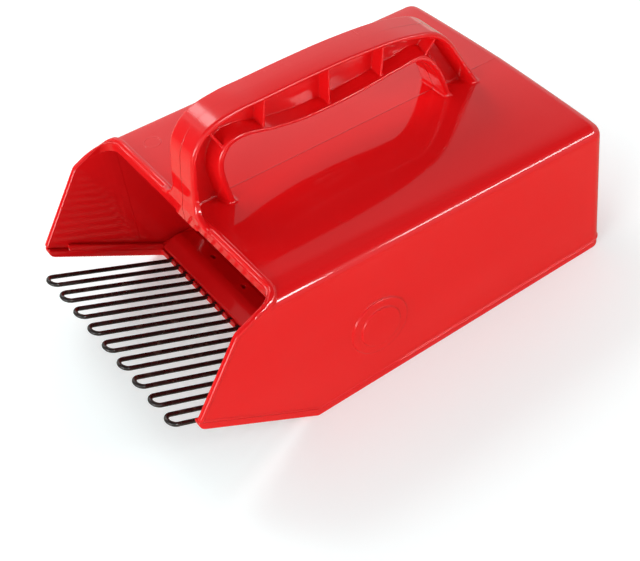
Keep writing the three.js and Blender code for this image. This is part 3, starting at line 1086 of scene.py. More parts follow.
@dataclass
class Housing:
    """Walls, roof, rim and handle, moulded in one.

    Attributes:
        scoop: The outer form.
        mouth: The rim's sizes.
        strip: The cheeks' raised strips.
        plaque: The plaques' sizes.
        post: The screw posts' sizes.
        handle: The handle.
        faces: Most triangles of the mesh.
        corner_ends: Places across between which the rim's roundings fade to the cheeks.
        band_fillet: Fillet between the band and the roof.
        plaque_fillet: Fillet between the plaques and the walls.
        foot_fillet: Fillet between the handle and the roof.
        foot_ends: Places along between which that fillet grows behind the band.
        least_fillet: What is left of it in front of them.
        bead: Height of the bead along the walls' lower edges.
        bead_proud: How far the bead stands out.
        bead_edge: Rounding of the bead.
        seam_gap: How far the walls end above the floor's rim.
        seam_edge: Rounding of the walls' lower edges.
    """

    scoop: Scoop
    mouth: Mouth = Mouth()
    strip: CheekStrip = CheekStrip()
    plaque: Plaque = Plaque()
    post: Post = Post()
    handle: Handle = field(default_factory=Handle)
    faces: int = 199_000
    corner_ends: Pair = (61, 66.5)
    band_fillet: float = 0.3
    plaque_fillet: float = 0.3
    foot_fillet: float = 1.2
    foot_ends: Pair = (3.2, 7)
    least_fillet: float = 0.02
    bead: float = 1.2
    bead_proud: float = 0.32
    bead_edge: float = 0.4
    seam_gap: float = 0.15
    seam_edge: float = 0.3

    def __post_init__(self) -> None:
        """Draws the handle over the roof."""
        self.handle.draw(self.scoop)

    def form(self, x: Array, y: Array, z: Array) -> Array:
        """Distance to the whole moulding, negative inside the plastic.

        Args:
            x: Places across.
            y: Places along.
            z: Heights.

        Returns:
            Signed distances.
        """
        scoop, post = self.scoop, self.post
        block = scoop.block(x, y, z)
        hollow = block + scoop.wall
        walls = self._walls(block, hollow, x, y, z)
        stem = rounded_both(post.out(x, y) - post.radius, z - post.top, post.edge)
        grown = eased(*post.fillet_ends, hollow) * (hollow < 0)
        walls = filleted_either(walls, np.maximum(stem, block), post.fillet * grown)
        outside = np.abs(x) > scoop.half - self.plaque.root
        plaques = self.plaque.field(scoop, x, y, z)
        walls = filleted_either(walls, plaques, self.plaque_fillet * outside)
        handle = self.handle.field(scoop, self.mouth, x, y, z)
        fillet = self.least_fillet + self.foot_fillet * eased(*self.foot_ends, y)
        whole = filleted_either(walls, handle, fillet)
        above_seam = scoop.underside(y, z) + scoop.seam + self.seam_gap
        whole = rounded_both(whole, above_seam, self.seam_edge)
        pilot = np.maximum(post.out(x, y) - post.pilot, z - post.pilot_top)
        return np.maximum(whole, -pilot)

    def _walls(self, block: Array, hollow: Array, x: Array, y: Array, z: Array) -> Array:
        """Distance to the walls and the roof with the mouth's rim and the beads.

        Args:
            block: Distance to the closed outer form.
            hollow: Distance to the hollow in it.
            x: Places across.
            y: Places along.
            z: Heights.

        Returns:
            Signed distances, negative inside the plastic.
        """
        scoop, mouth, strip = self.scoop, self.mouth, self.strip
        plan = mouth.plan(x, y)
        free = 1 - eased(*self.corner_ends, np.abs(x))
        shell = np.maximum(block, -hollow)
        raised = scoop.block(x, y, z, raised=mouth.band_proud)
        ring = slab(plan, mouth.ledge, mouth.ledge + mouth.band_depth)
        band = np.maximum(rounded_both(ring, raised, mouth.band_round), -hollow)
        walls = filleted_either(shell, band, self.band_fillet * free)
        proud = scoop.block(x, y, z, grown=strip.proud)
        cheek = rounded_both(-scoop.inside_strip.at(y, z), proud, strip.edge)
        walls = np.minimum(walls, np.maximum(np.maximum(cheek, block - strip.proud), -hollow))
        walls = rounded_both(walls, -plan, mouth.edge * free)
        lip = rounded_both(-plan, mouth.lip_low - z, mouth.edge)
        lip = np.maximum(rounded_both(lip, block, mouth.edge), plan - scoop.wall)
        walls = np.minimum(walls, lip)
        bead = np.maximum(scoop.block(x, y, z, grown=self.bead_proud), y - BODY_LENGTH)
        below_top = -scoop.underside(y, z) - scoop.seam - self.bead
        bead = rounded_both(bead, below_top, self.bead_edge)
        walls = np.minimum(walls, np.maximum(bead, -hollow))
        return rounded_both(walls, scoop.side.at(y, z), mouth.edge)

    def lines(self) -> GridLines:
        """Grid lines, close where there are edges and wide where the walls are plain.

        Returns:
            Lines along x, y and z.
        """
        across = graded(
            (-72.6, -61, 0.55), (-61, -11, 2.5), (-11, 11, 0.5), (11, 61, 2.5), (61, 72.6, 0.55))
        along = graded(
            (-49.6, 6, 0.5), (6, 26, 0.6), (26, 118, 0.8), (118, 156, 0.6), (156, 165, 1.5),
            (165, 176, 0.55))
        up = graded((2, 6, 0.5), (6, 66, 0.6), (66, 82, 0.5), (82, 126, 0.5))
        return across, along, up

    def build(self) -> bpy.types.Object:
        """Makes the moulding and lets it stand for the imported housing."""
        mesh = Mould("housing_moulding", self.form, self.lines(), self.faces).mesh()
        return stood_in(mesh, "housing_plastic", "housing")


def stood_in(mesh: bpy.types.Mesh, slot: str, *nodes: str) -> bpy.types.Object:
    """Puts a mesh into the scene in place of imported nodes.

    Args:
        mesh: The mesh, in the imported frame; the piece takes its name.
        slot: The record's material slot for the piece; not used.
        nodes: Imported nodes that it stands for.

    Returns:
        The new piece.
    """
    piece = bpy.data.objects.new(mesh.name, mesh)
    bpy.context.scene.collection.objects.link(piece)
    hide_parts(*nodes)
    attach(piece, ROOT)
    return piece


@dataclass(frozen=True)
class WireComb:
    """Nine wire hairpins side by side, with the clamp bar's places.

    Attributes:
        count: Number of hairpins.
        radius: Half the wire's thickness.
        pitch: Distance between neighbouring legs.
        height: Height of the legs' middle on the floor.
        reach: How far the loops' middle line reaches in front of the mouth.
        rise: Height of the loops' middle line at their ends.
        heel: Where the wires bend up, behind the mouth.
        leg_end: Where the legs end.
        bend: Radius of the bend.
        bar_front: Front of the clamp bar.
        bar_rear: Rear of the clamp bar.
        screws: Number of the clamp's screws.
        screw_along: Where they stand.
        sides: Number of sides of the drawn wire.
        bend_steps: Points along the bend.
        loop_steps: Points round a loop.
        end_steps: Rings of each rounded end.
        end_turn: Turn of the smallest of them, which leaves a small flat.
    """

    count: int = 9
    radius: float = 1.05
    pitch: float = 6.8
    height: float = 2.55
    reach: float = 52.6
    rise: float = 30.9
    heel: float = 8.8
    leg_end: float = 18.8
    bend: float = 4
    bar_front: float = 10
    bar_rear: float = 27.9
    screws: int = 4
    screw_along: float = 23.5
    sides: int = 20
    bend_steps: int = 9
    loop_steps: int = 25
    end_steps: int = 4
    end_turn: float = 0.2

    def aside(self, x: Array) -> Array:
        """How far a place across is from the nearest leg.

        Args:
            x: Places across.

        Returns:
            Signed distances across.
        """
        legs = (x / self.pitch) - 0.5
        near = np.clip(np.round(legs), -self.count, self.count - 1)
        return (legs - near) * self.pitch

    def screws_across(self) -> list[float]:
        """Places of the clamp's screws, each between two legs.

        Returns:
            The places across.
        """
        middle = (self.screws - 1) / 2
        shares = [(i - middle) / self.screws for i in range(self.screws)]
        return [2 * self.pitch * math.floor(share * self.count + 0.5) for share in shares]

    def screws_out(self, x: Array, y: Array) -> Array:
        """Distance from the nearest of the clamp screws' axes."""
        spots = [np.hypot(x - across, y - self.screw_along) for across in self.screws_across()]
        return np.minimum.reduce(spots)

    def route(self, centre: float) -> Array:
        """Middle line of one hairpin, from one leg's end round the loop to the other's.

        Args:
            centre: Place of the hairpin across the mouth.

        Returns:
            Points of the line, one row each.
        """
        half = self.pitch / 2
        tilt = math.atan2(self.rise - self.height, self.reach + self.heel)
        along = np.array([0, -math.cos(tilt), math.sin(tilt)])
        entry = np.array([0, self.heel, self.height])
        turn = np.linspace(0, tilt, self.bend_steps)[:, None]
        arc = np.concatenate([0 * turn, -np.sin(turn), 1 - np.cos(turn)], 1)
        bent = entry + self.bend * arc
        knee = entry - [0, self.bend * math.tan(tilt / 2), 0]
        straight = math.hypot(self.reach + knee[1], self.rise - knee[2])
        hub = knee + along * (straight - half)
        start = np.array([[0, self.leg_end, self.height]])
        leg = np.concatenate([start, bent])
        sweep = np.linspace(0, math.pi, self.loop_steps)[:, None]
        loop = hub + half * (np.sin(sweep) * along - np.cos(sweep) * np.array([1, 0, 0]))
        aside = np.array([half, 0, 0])
        return np.concatenate([leg - aside, loop, (leg + aside)[::-1]]) + [centre, 0, 0]

    def _cut_end(self, spot: Array, way: Array, inward: int) -> list[tuple[Array, Array, float]]:
        """Rings of one rounded end, from the smallest on.

        Args:
            spot: Where the wire ends.
            way: Direction of the wire there.
            inward: One where the wire goes on along that direction, minus one against it.

        Returns:
            Middle, direction and share of the radius of each ring.
        """
        rings = []
        for turn in np.linspace(self.end_turn, math.pi / 2, self.end_steps + 1)[:-1]:
            middle = spot + inward * way * self.radius * (1 - math.cos(turn))
            rings.append((middle, way, math.sin(turn)))
        return rings

    def wire(self, name: str, route: Array) -> bpy.types.Mesh:
        """A round wire along a line, its cut ends slightly rounded.

        Args:
            name: Name of the mesh.
            route: Points of the line.

        Returns:
            The mesh.
        """
        ahead = unit_rows(np.diff(route, axis=0))
        along = unit_rows(np.concatenate([ahead[:1], ahead[1:] + ahead[:-1], ahead[-1:]]))
        stations = self._cut_end(route[0], along[0], 1)
        stations += [(spot, way, 1.0) for spot, way in zip(route[1:-1], along[1:-1])]
        stations += self._cut_end(route[-1], along[-1], -1)[::-1]
        across = np.array([0.0, 0.0, 1.0])
        rings = []
        turn = np.linspace(0, 2 * math.pi, self.sides, endpoint=False)[:, None]
        for spot, way, share in stations:
            across = across - way * (across @ way)
            across /= np.linalg.norm(across)
            circle = np.cos(turn) * across + np.sin(turn) * np.cross(way, across)
            rings.append(spot + self.radius * share * circle)
        return tube(name, placed(np.concatenate(rings)), self.sides)

    def build(self) -> list[bpy.types.Object]:
        """Makes the hairpins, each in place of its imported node.

        Returns:
            The new pieces.
        """
        made = []
        for i in range(self.count):
            centre = 2 * self.pitch * (i - (self.count - 1) / 2)
            mesh = self.wire(f"hairpin_{i + 1}", self.route(centre))
            made.append(stood_in(mesh, "tine_wire", f"tine_{i + 1}"))
        return made


def tube(name: str, spots: Array, sides: int) -> bpy.types.Mesh:
    """Closes rings of points into a smooth tube with capped ends.

    Args:
        name: Name of the mesh.
        spots: Points of all rings, ring after ring.
        sides: Points in each ring.

    Returns:
        The mesh.
    """
    rings = len(spots) // sides
    faces = []
    for r in range(rings - 1):
        for i in range(sides):
            a, b = r * sides + i, r * sides + (i + 1) % sides
            faces.append((a, a + sides, b + sides, b))
    faces.append(tuple(range(sides)))
    faces.append(tuple(reversed(range((rings - 1) * sides, rings * sides))))
    made = bpy.data.meshes.new(name)
    made.from_pydata(spots.tolist(), [], faces)
    made.polygons.foreach_set("use_smooth", np.ones(len(faces), bool))
    made.update()
    return made


@dataclass
class BasePlate:
    """Floor with its rib inside the walls, the cheek rails and the wires' grooves.

    Attributes:
        scoop: The outer form.
        post: The housing's posts, which the floor's pads meet.
        comb: The wire comb, whose legs lie in the grooves.
        top: Height of the floor's rim.
        skin: Thickness under the grooves.
        relief: How far the floor's middle lies below its rim.
        fit: Gap to the pieces beside it.
        rib: Thickness of the rib inside the walls.
        rib_height: Height of the rib above the rim.
        rib_front: Where the rib starts on the cheeks.
        edge: Rounding of the plate's edges.
        side_edge: Rounding of its outline seen from the side.
        corner: Rounding of the corners between the cheek rails.
        hollow_rear: Where the lowered middle ends.
        hollow_fillet: Fillet round the lowered middle.
        head_radius: Radius of the holes for the screws' heads.
        head_depth: Depth of those holes.
        hole_edge: Rounding of all the holes.
        faces: Most triangles of the mesh.
    """

    scoop: Scoop
    post: Post
    comb: WireComb
    top: float = 3.6
    skin: float = 1.2
    relief: float = 1
    fit: float = 0.3
    rib: float = 1.6
    rib_height: float = 3
    rib_front: float = -35.6
    edge: float = 0.3
    side_edge: float = 0.6
    corner: float = 1
    hollow_rear: float = 169.8
    hollow_fillet: float = 0.5
    head_radius: float = 3.2
    head_depth: float = 1.7
    hole_edge: float = 0.2
    faces: int = 70_000

    def form(self, x: Array, y: Array, z: Array) -> Array:
        """Distance to the floor, negative inside the plastic.

        Args:
            x: Places across.
            y: Places along.
            z: Heights.

        Returns:
            Signed distances.
        """
        scoop, comb, edge = self.scoop, self.comb, self.edge
        block = scoop.block(x, y, z)
        side = scoop.side.at(y, z)
        below_rim = -scoop.underside(y, z) - self.top
        plate = rounded_both(rounded_both(block, side, self.side_edge), below_rim, edge)
        inner = block + scoop.wall + self.fit
        rib = rounded_both(slab(inner, -self.rib, 0), below_rim - self.rib_height, edge)
        rib = np.maximum(np.maximum(rib, side), self.rib_front - y)
        plate = np.minimum(plate, rib)
        rail = scoop.inner_half - self.fit - self.rib
        gap = rounded_both(np.abs(x) - rail, y - scoop.heel, self.corner)
        plate = rounded_both(plate, -gap, edge)
        pads = self.post.out(x, y) - self.post.radius
        hollow = slab(y, comb.bar_rear, self.hollow_rear)
        hollow = np.maximum(np.abs(x) - rail + self.fit, hollow)
        hollow = rounded_both(hollow, -pads, edge)
        hollow = rounded_both(hollow, self.top - self.relief - z, self.hollow_fillet)
        plate = rounded_both(plate, -hollow, edge)
        groove = np.abs(comb.aside(x)) - comb.radius - self.fit
        grooves = np.maximum(groove, self.skin - z)
        plate = np.maximum(plate, -np.maximum(grooves, y - comb.leg_end - self.fit))
        plate = np.maximum(plate, -np.maximum(pads - self.fit, self.top - z))
        axes = np.minimum(self.post.out(x, y), comb.screws_out(x, y))
        heads = np.maximum(axes - self.head_radius, z - self.head_depth)
        holes = np.minimum(axes - self.post.pilot, heads)
        return rounded_both(plate, -holes, self.hole_edge)

    def lines(self) -> GridLines:
        """Grid lines, close round the rails, the grooves and the holes.

        Returns:
            Lines along x, y and z.
        """
        across = graded((-70.8, -60, 0.5), (-60, 60, 0.6), (60, 70.8, 0.5))
        along = graded((-49, 8, 0.7), (8, 28, 0.5), (28, 42, 0.6), (42, 162, 3), (162, 175, 0.5))
        up = graded((-0.6, 8, 0.35), (8, 42, 0.7))
        return across, along, up

    def build(self) -> bpy.types.Object:
        """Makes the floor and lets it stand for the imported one."""
        mesh = Mould("floor_moulding", self.form, self.lines(), self.faces).mesh()
        return stood_in(mesh, "floor_plastic", "base_plate")


@dataclass
class ClampBar:
    """Bar across the floor behind the mouth that holds the hairpins' legs down.

    Attributes:
        comb: The wire comb, which says where the bar lies.
        half: Half the bar's length across the floor.
        low: Height of its underside.
        nose: Thickness at its front edge.
        height: Thickness at its crest, and what its rear face starts from.
        crest: How far the crest lies behind the front edge.
        ridge: Rounding of the crest.
        edge: Rounding of the other edges.
        pilot: Radius of the screws' holes.
        pilot_top: Height of their ends.
        faces: Most triangles of the mesh.
    """

    comb: WireComb
    half: float = 65.6
    low: float = 3.9
    nose: float = 2
    height: float = 5.5
    crest: float = 8
    ridge: float = 2
    edge: float = 0.5
    pilot: float = 1.7
    pilot_top: float = 7.3
    faces: int = 9_000

    def form(self, x: Array, y: Array, z: Array) -> Array:
        """Distance to the bar, negative inside the plastic.

        Args:
            x: Places across.
            y: Places along.
            z: Heights.

        Returns:
            Signed distances.
        """
        comb = self.comb
        front = np.maximum(comb.bar_front - y, self.low - z)
        rise = self.height - self.nose
        crest_y = comb.bar_front + self.crest
        fall = comb.bar_rear - crest_y
        above_front = z - self.low - self.nose - (y - comb.bar_front) * rise / self.crest
        above_rear = z - self.low - self.height + (y - crest_y) * rise / fall
        roof = rounded_both(
            above_front / math.hypot(1, rise / self.crest),
            above_rear / math.hypot(1, rise / fall), self.ridge)
        bar = rounded_both(np.maximum(front, y - comb.bar_rear), roof, self.edge)
        bar = rounded_both(bar, np.abs(x) - self.half, self.edge)
        pilot = np.maximum(comb.screws_out(x, y) - self.pilot, z - self.pilot_top)
        return np.maximum(bar, -pilot)

    def build(self) -> bpy.types.Object:
        """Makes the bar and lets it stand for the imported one.

        Returns:
            The new piece.
        """
        comb = self.comb
        lines = (
            graded((-66.4, -64, 0.4), (-64, 64, 0.8), (64, 66.4, 0.4)),
            graded((comb.bar_front - 0.8, comb.bar_rear + 0.8, 0.45)), graded((3.2, 10.3, 0.4)))
        mesh = Mould("clamp_moulding", self.form, lines, self.faces).mesh()
        return stood_in(mesh, "clamp_plastic", "clamp_bar")


@dataclass
class Screw:
    """Self-tapping screw with a cross recess, standing on its head.

    Attributes:
        name: First part of the pieces' names.
        length: Length from the head's face to the point.
        places: (x, y) places in the drawing frame.
        low: Height of the head's face.
        head: Radius of the head.
        head_height: Height of the head.
        head_edge: Rounding of the head's inner edge.
        dome: Middle and radius of the sphere that its face is cut from.
        dome_edge: Rounding of the edge round its face.
        recess: Depth of the cross recess, and its arms' half width and length at the face.
        recess_least: Least shares of that width and that length that the taper leaves.
        recess_edge: Rounding of the recess.
        shank: Radius over the thread.
        thread: Rise of the thread in one turn.
        thread_depth: Depth of the thread.
        thread_sharpness: How sharply its crests stand out.
        thread_ends: Heights between which it grows out of the neck.
        point: Length over which the shank tapers.
        neck: Height at which the shank starts in the head.
        neck_fillet: Fillet between them.
        steepness: Share of the shank's distance that the thread's slope leaves true.
        turns: Turn of the first screw, and from each screw to the next, in radians.
        faces: Most triangles of the mesh.
    """

    name: str
    length: float
    places: Sequence[Pair]
    low: float = 0.15
    head: float = 2.9
    head_height: float = 1.4
    head_edge: float = 0.2
    dome: Pair = (4.6, 4.75)
    dome_edge: float = 0.25
    recess: Triple = (0.95, 0.42, 1.5)
    recess_least: Pair = (0.2, 0.1)
    recess_edge: float = 0.08
    shank: float = 1.4
    thread: float = 1.1
    thread_depth: float = 0.42
    thread_sharpness: float = 1.5
    thread_ends: Pair = (1.4, 2.6)
    point: float = 2.4
    neck: float = 0.6
    neck_fillet: float = 0.15
    steepness: float = 0.8
    turns: Pair = (0.7, 1.3)
    faces: int = 5_000

    def form(self, x: Array, y: Array, z: Array) -> Array:
        """Distance to a screw at the frame's origin, negative inside the steel.

        Args:
            x: Places across.
            y: Places along.
            z: Heights.

        Returns:
            Signed distances.
        """
        out = np.hypot(x, y)
        middle, radius = self.dome
        dome = np.hypot(out, np.minimum(z - middle, 0)) - radius
        head = np.maximum(out - self.head, -z)
        head = rounded_both(head, z - self.head_height, self.head_edge)
        head = rounded_both(head, dome, self.dome_edge)
        head = rounded_both(head, -self._cross(x, y, z), self.recess_edge)
        phase = z / self.thread - np.arctan2(y, x) / (2 * math.pi)
        wave = np.abs(phase - np.round(phase)) * 2
        valley = 1 - np.clip(1 - wave, 0, 1) ** self.thread_sharpness
        valley = self.thread_depth * valley * eased(*self.thread_ends, z)
        core = (self.shank - valley) * np.clip((self.length - z) / self.point, 0, 1)
        stem = np.maximum((out - core) * self.steepness, -z + self.neck)
        stem = np.maximum(stem, z - self.length)
        return filleted_either(head, stem, self.neck_fillet)

    def _cross(self, x: Array, y: Array, z: Array) -> Array:
        """Distance to the cross recess, which narrows as it goes in.

        Args:
            x: Places across.
            y: Places along.
            z: Heights.

        Returns:
            Signed distances.
        """
        depth, arm, reach = self.recess
        least_arm, least_reach = self.recess_least
        left = 1 - z / depth
        arm = arm * np.maximum(left, least_arm)
        reach = reach * np.maximum(left, least_reach)
        return np.minimum(
            np.maximum(np.abs(x) - arm, np.abs(y) - reach),
            np.maximum(np.abs(y) - arm, np.abs(x) - reach))

    def build(self) -> list[bpy.types.Object]:
        """Makes the screws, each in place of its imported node.

        Returns:
            The new pieces.
        """
        margin = 0.4
        reach = self.head + margin
        flat = graded((-reach, reach, 0.2))
        lines = flat, flat, graded((-margin, self.length + margin, 0.15))
        first = Mould(f"{self.name}_body", self.form, lines, self.faces, probe=0.05).mesh()
        made = []
        first_turn, next_turn = self.turns
        for i, (across, along) in enumerate(self.places):
            mesh = first.copy()
            mesh.name = f"{self.name}_{i + 1}_turned"
            turn = Matrix.Rotation(first_turn + next_turn * i, 4, "Z")
            origin = Matrix.Translation(Vector((0, ORIGIN_BACK, 0)) * MM)
            place = Matrix.Translation(Vector((across, along - ORIGIN_BACK, self.low)) * MM)
            mesh.transform(place @ turn @ origin)
            made.append(stood_in(mesh, "screw_steel", f"{self.name}_{i + 1}"))
        bpy.data.meshes.remove(first)
        return made


# --- Finishes ---


class Nodes:
    """The node tree of one material or world, with short calls to fill it."""

    def __init__(self, owner: bpy.types.Material | bpy.types.World) -> None:
        """Empties the owner's tree.

        Args:
            owner: The material or the world.
        """
        owner.use_nodes = True
        self.tree = owner.node_tree
        self.tree.nodes.clear()

    def add(self, kind: str, **settings: object) -> bpy.types.Node:
        """Adds a node.

        Args:
            kind: Type of the node, without its prefix.
            settings: Its properties, or its inputs where a name has a capital letter.

        Returns:
            The node.
        """
        node = self.tree.nodes.new(f"ShaderNode{kind}")
        for name, value in settings.items():
            if name[0].isupper():
                node.inputs[name.replace("_", " ")].default_value = value
            else:
                setattr(node, name, value)
        return node

    def link(self, source: Socket, target: Socket) -> None:
        """Joins two sockets."""
        self.tree.links.new(source, target)

    def feed(self, target: Socket, value: object) -> None:
        """Sets an input, by a link from a socket or else to a plain value.

        Args:
            target: The input.
            value: A socket or a value.
        """
        if isinstance(value, Socket):
            self.link(value, target)
        else:
            target.default_value = value

    def maths(self, operation: str, first: object, second: object = 0.0) -> Socket:
        """Adds a sum of two sockets or numbers and gives its result.

        Args:
            operation: Name of the sum.
            first: A socket or a number.
            second: Another one.

        Returns:
            The result.
        """
        node = self.add("Math", operation=operation)
        self.feed(node.inputs[0], first)
        self.feed(node.inputs[1], second)
        return node.outputs[0]

    def either(self, share: Socket, one: object, other: object) -> Socket:
        """Gives one value where a share is one, and another where it is zero.

        Args:
            share: The share.
            one: Value where it is one.
            other: Value where it is zero.

        Returns:
            The chosen value.
        """
        rest = self.maths("SUBTRACT", 1.0, share)
        first, second = self.maths("MULTIPLY", share, one), self.maths("MULTIPLY", rest, other)
        return self.maths("ADD", first, second)

    def measure(self, operation: str, where: Socket, other: Sequence[float] = (0, 0, 0)) -> Socket:
        """Measures coordinates by a vector sum, most often against a fixed place.

        Args:
            operation: Name of the vector sum.
            where: The coordinates.
            other: The fixed place or direction.

        Returns:
            The measure.
        """
        node = self.add("VectorMath", operation=operation)
        self.link(where, node.inputs[0])
        node.inputs[1].default_value = tuple(other)
        return node.outputs["Value"]

    def split(self, where: Socket) -> bpy.types.NodeOutputs:
        """Takes coordinates apart into outputs named X, Y and Z.

        Args:
            where: The coordinates.

        Returns:
            The outputs.
        """
        node = self.add("SeparateXYZ")
        self.link(where, node.inputs[0])
        return node.outputs

    def spread(self, source: Socket, low: float, high: float, to_low: float,
               to_high: float) -> Socket:
        """Maps a value from one range to another, kept within it and eased at both ends.

        Args:
            source: The value.
            low: Low end of its range.
            high: High end of its range.
            to_low: Result at the low end.
            to_high: Result at the high end.

        Returns:
            The mapped value.
        """
        return self.add_fed(
            "MapRange", source, interpolation_type="SMOOTHSTEP",
            From_Min=low, From_Max=high, To_Min=to_low, To_Max=to_high)

    def add_fed(self, kind: str, source: Socket, **settings: object) -> Socket:
        """Adds a node with a link to its first input and gives its first output.

        Args:
            kind: Type of the node, without its prefix.
            source: What its first input gets.
            settings: Its properties and inputs.

        Returns:
            Its first output.
        """
        node = self.add(kind, **settings)
        self.link(source, node.inputs[0])
        return node.outputs[0]

    def between(self, first: object, second: Sequence[float], share: Socket) -> Socket:
        """Mixes two colours.

        Args:
            first: A linear colour or a socket.
            second: A linear colour.
            share: Share of the second one.

        Returns:
            The mixed colour.
        """
        node = self.add("MixRGB", blend_type="MIX", Color2=(*second, 1))
        self.feed(node.inputs["Color1"], first if isinstance(first, Socket) else (*first, 1))
        self.link(share, node.inputs["Fac"])
        return node.outputs[0]

    def mixed(self, share: Socket, first: Socket, second: Socket) -> Socket:
        """Mixes two shaders, the second one by a share.

        Args:
            share: Share of the second one.
            first: The first shader.
            second: The second shader.

        Returns:
            The mixed shader.
        """
        node = self.add("MixShader")
        for target, source in zip(node.inputs, (share, first, second)):
            self.link(source, target)
        return node.outputs[0]

    def show(self, shader: Socket, kind: str = "OutputMaterial") -> None:
        """Gives a shader to the tree's output."""
        self.link(shader, self.add(kind).inputs["Surface"])

    def noise(self, where: Socket, scale: float, detail: float = 2.0,
              stretch: Sequence[float] = (1, 1, 1), turn: Sequence[float] = (0, 0, 0)) -> Socket:
        """Adds cloudy noise.

        Args:
            where: The coordinates.
            scale: Number of clouds to a metre.
            detail: Octaves of finer noise.
            stretch: Scale of each axis.
            turn: Turn of the axes, in radians.

        Returns:
            The noise, about 0.5 on average.
        """
        turned = self.add_fed("Mapping", where, Scale=tuple(stretch), Rotation=tuple(turn))
        node = self.add("TexNoise", Scale=scale, Detail=detail, Roughness=0.5)
        self.link(turned, node.inputs["Vector"])
        return node.outputs["Factor"] if "Factor" in node.outputs else node.outputs["Fac"]

    def bump(self, height: Socket, depth: float, under: Socket | None = None) -> Socket:
        """Adds relief of a depth in metres, over other relief if there is any.

        Args:
            height: The relief.
            depth: Its depth in metres.
            under: Relief that lies under it.

        Returns:
            The normal.
        """
        node = self.add("Bump", Strength=1.0, Distance=depth)
        self.link(height, node.inputs["Height"])
        if under is not None:
            self.link(under, node.inputs["Normal"])
        return node.outputs[0]


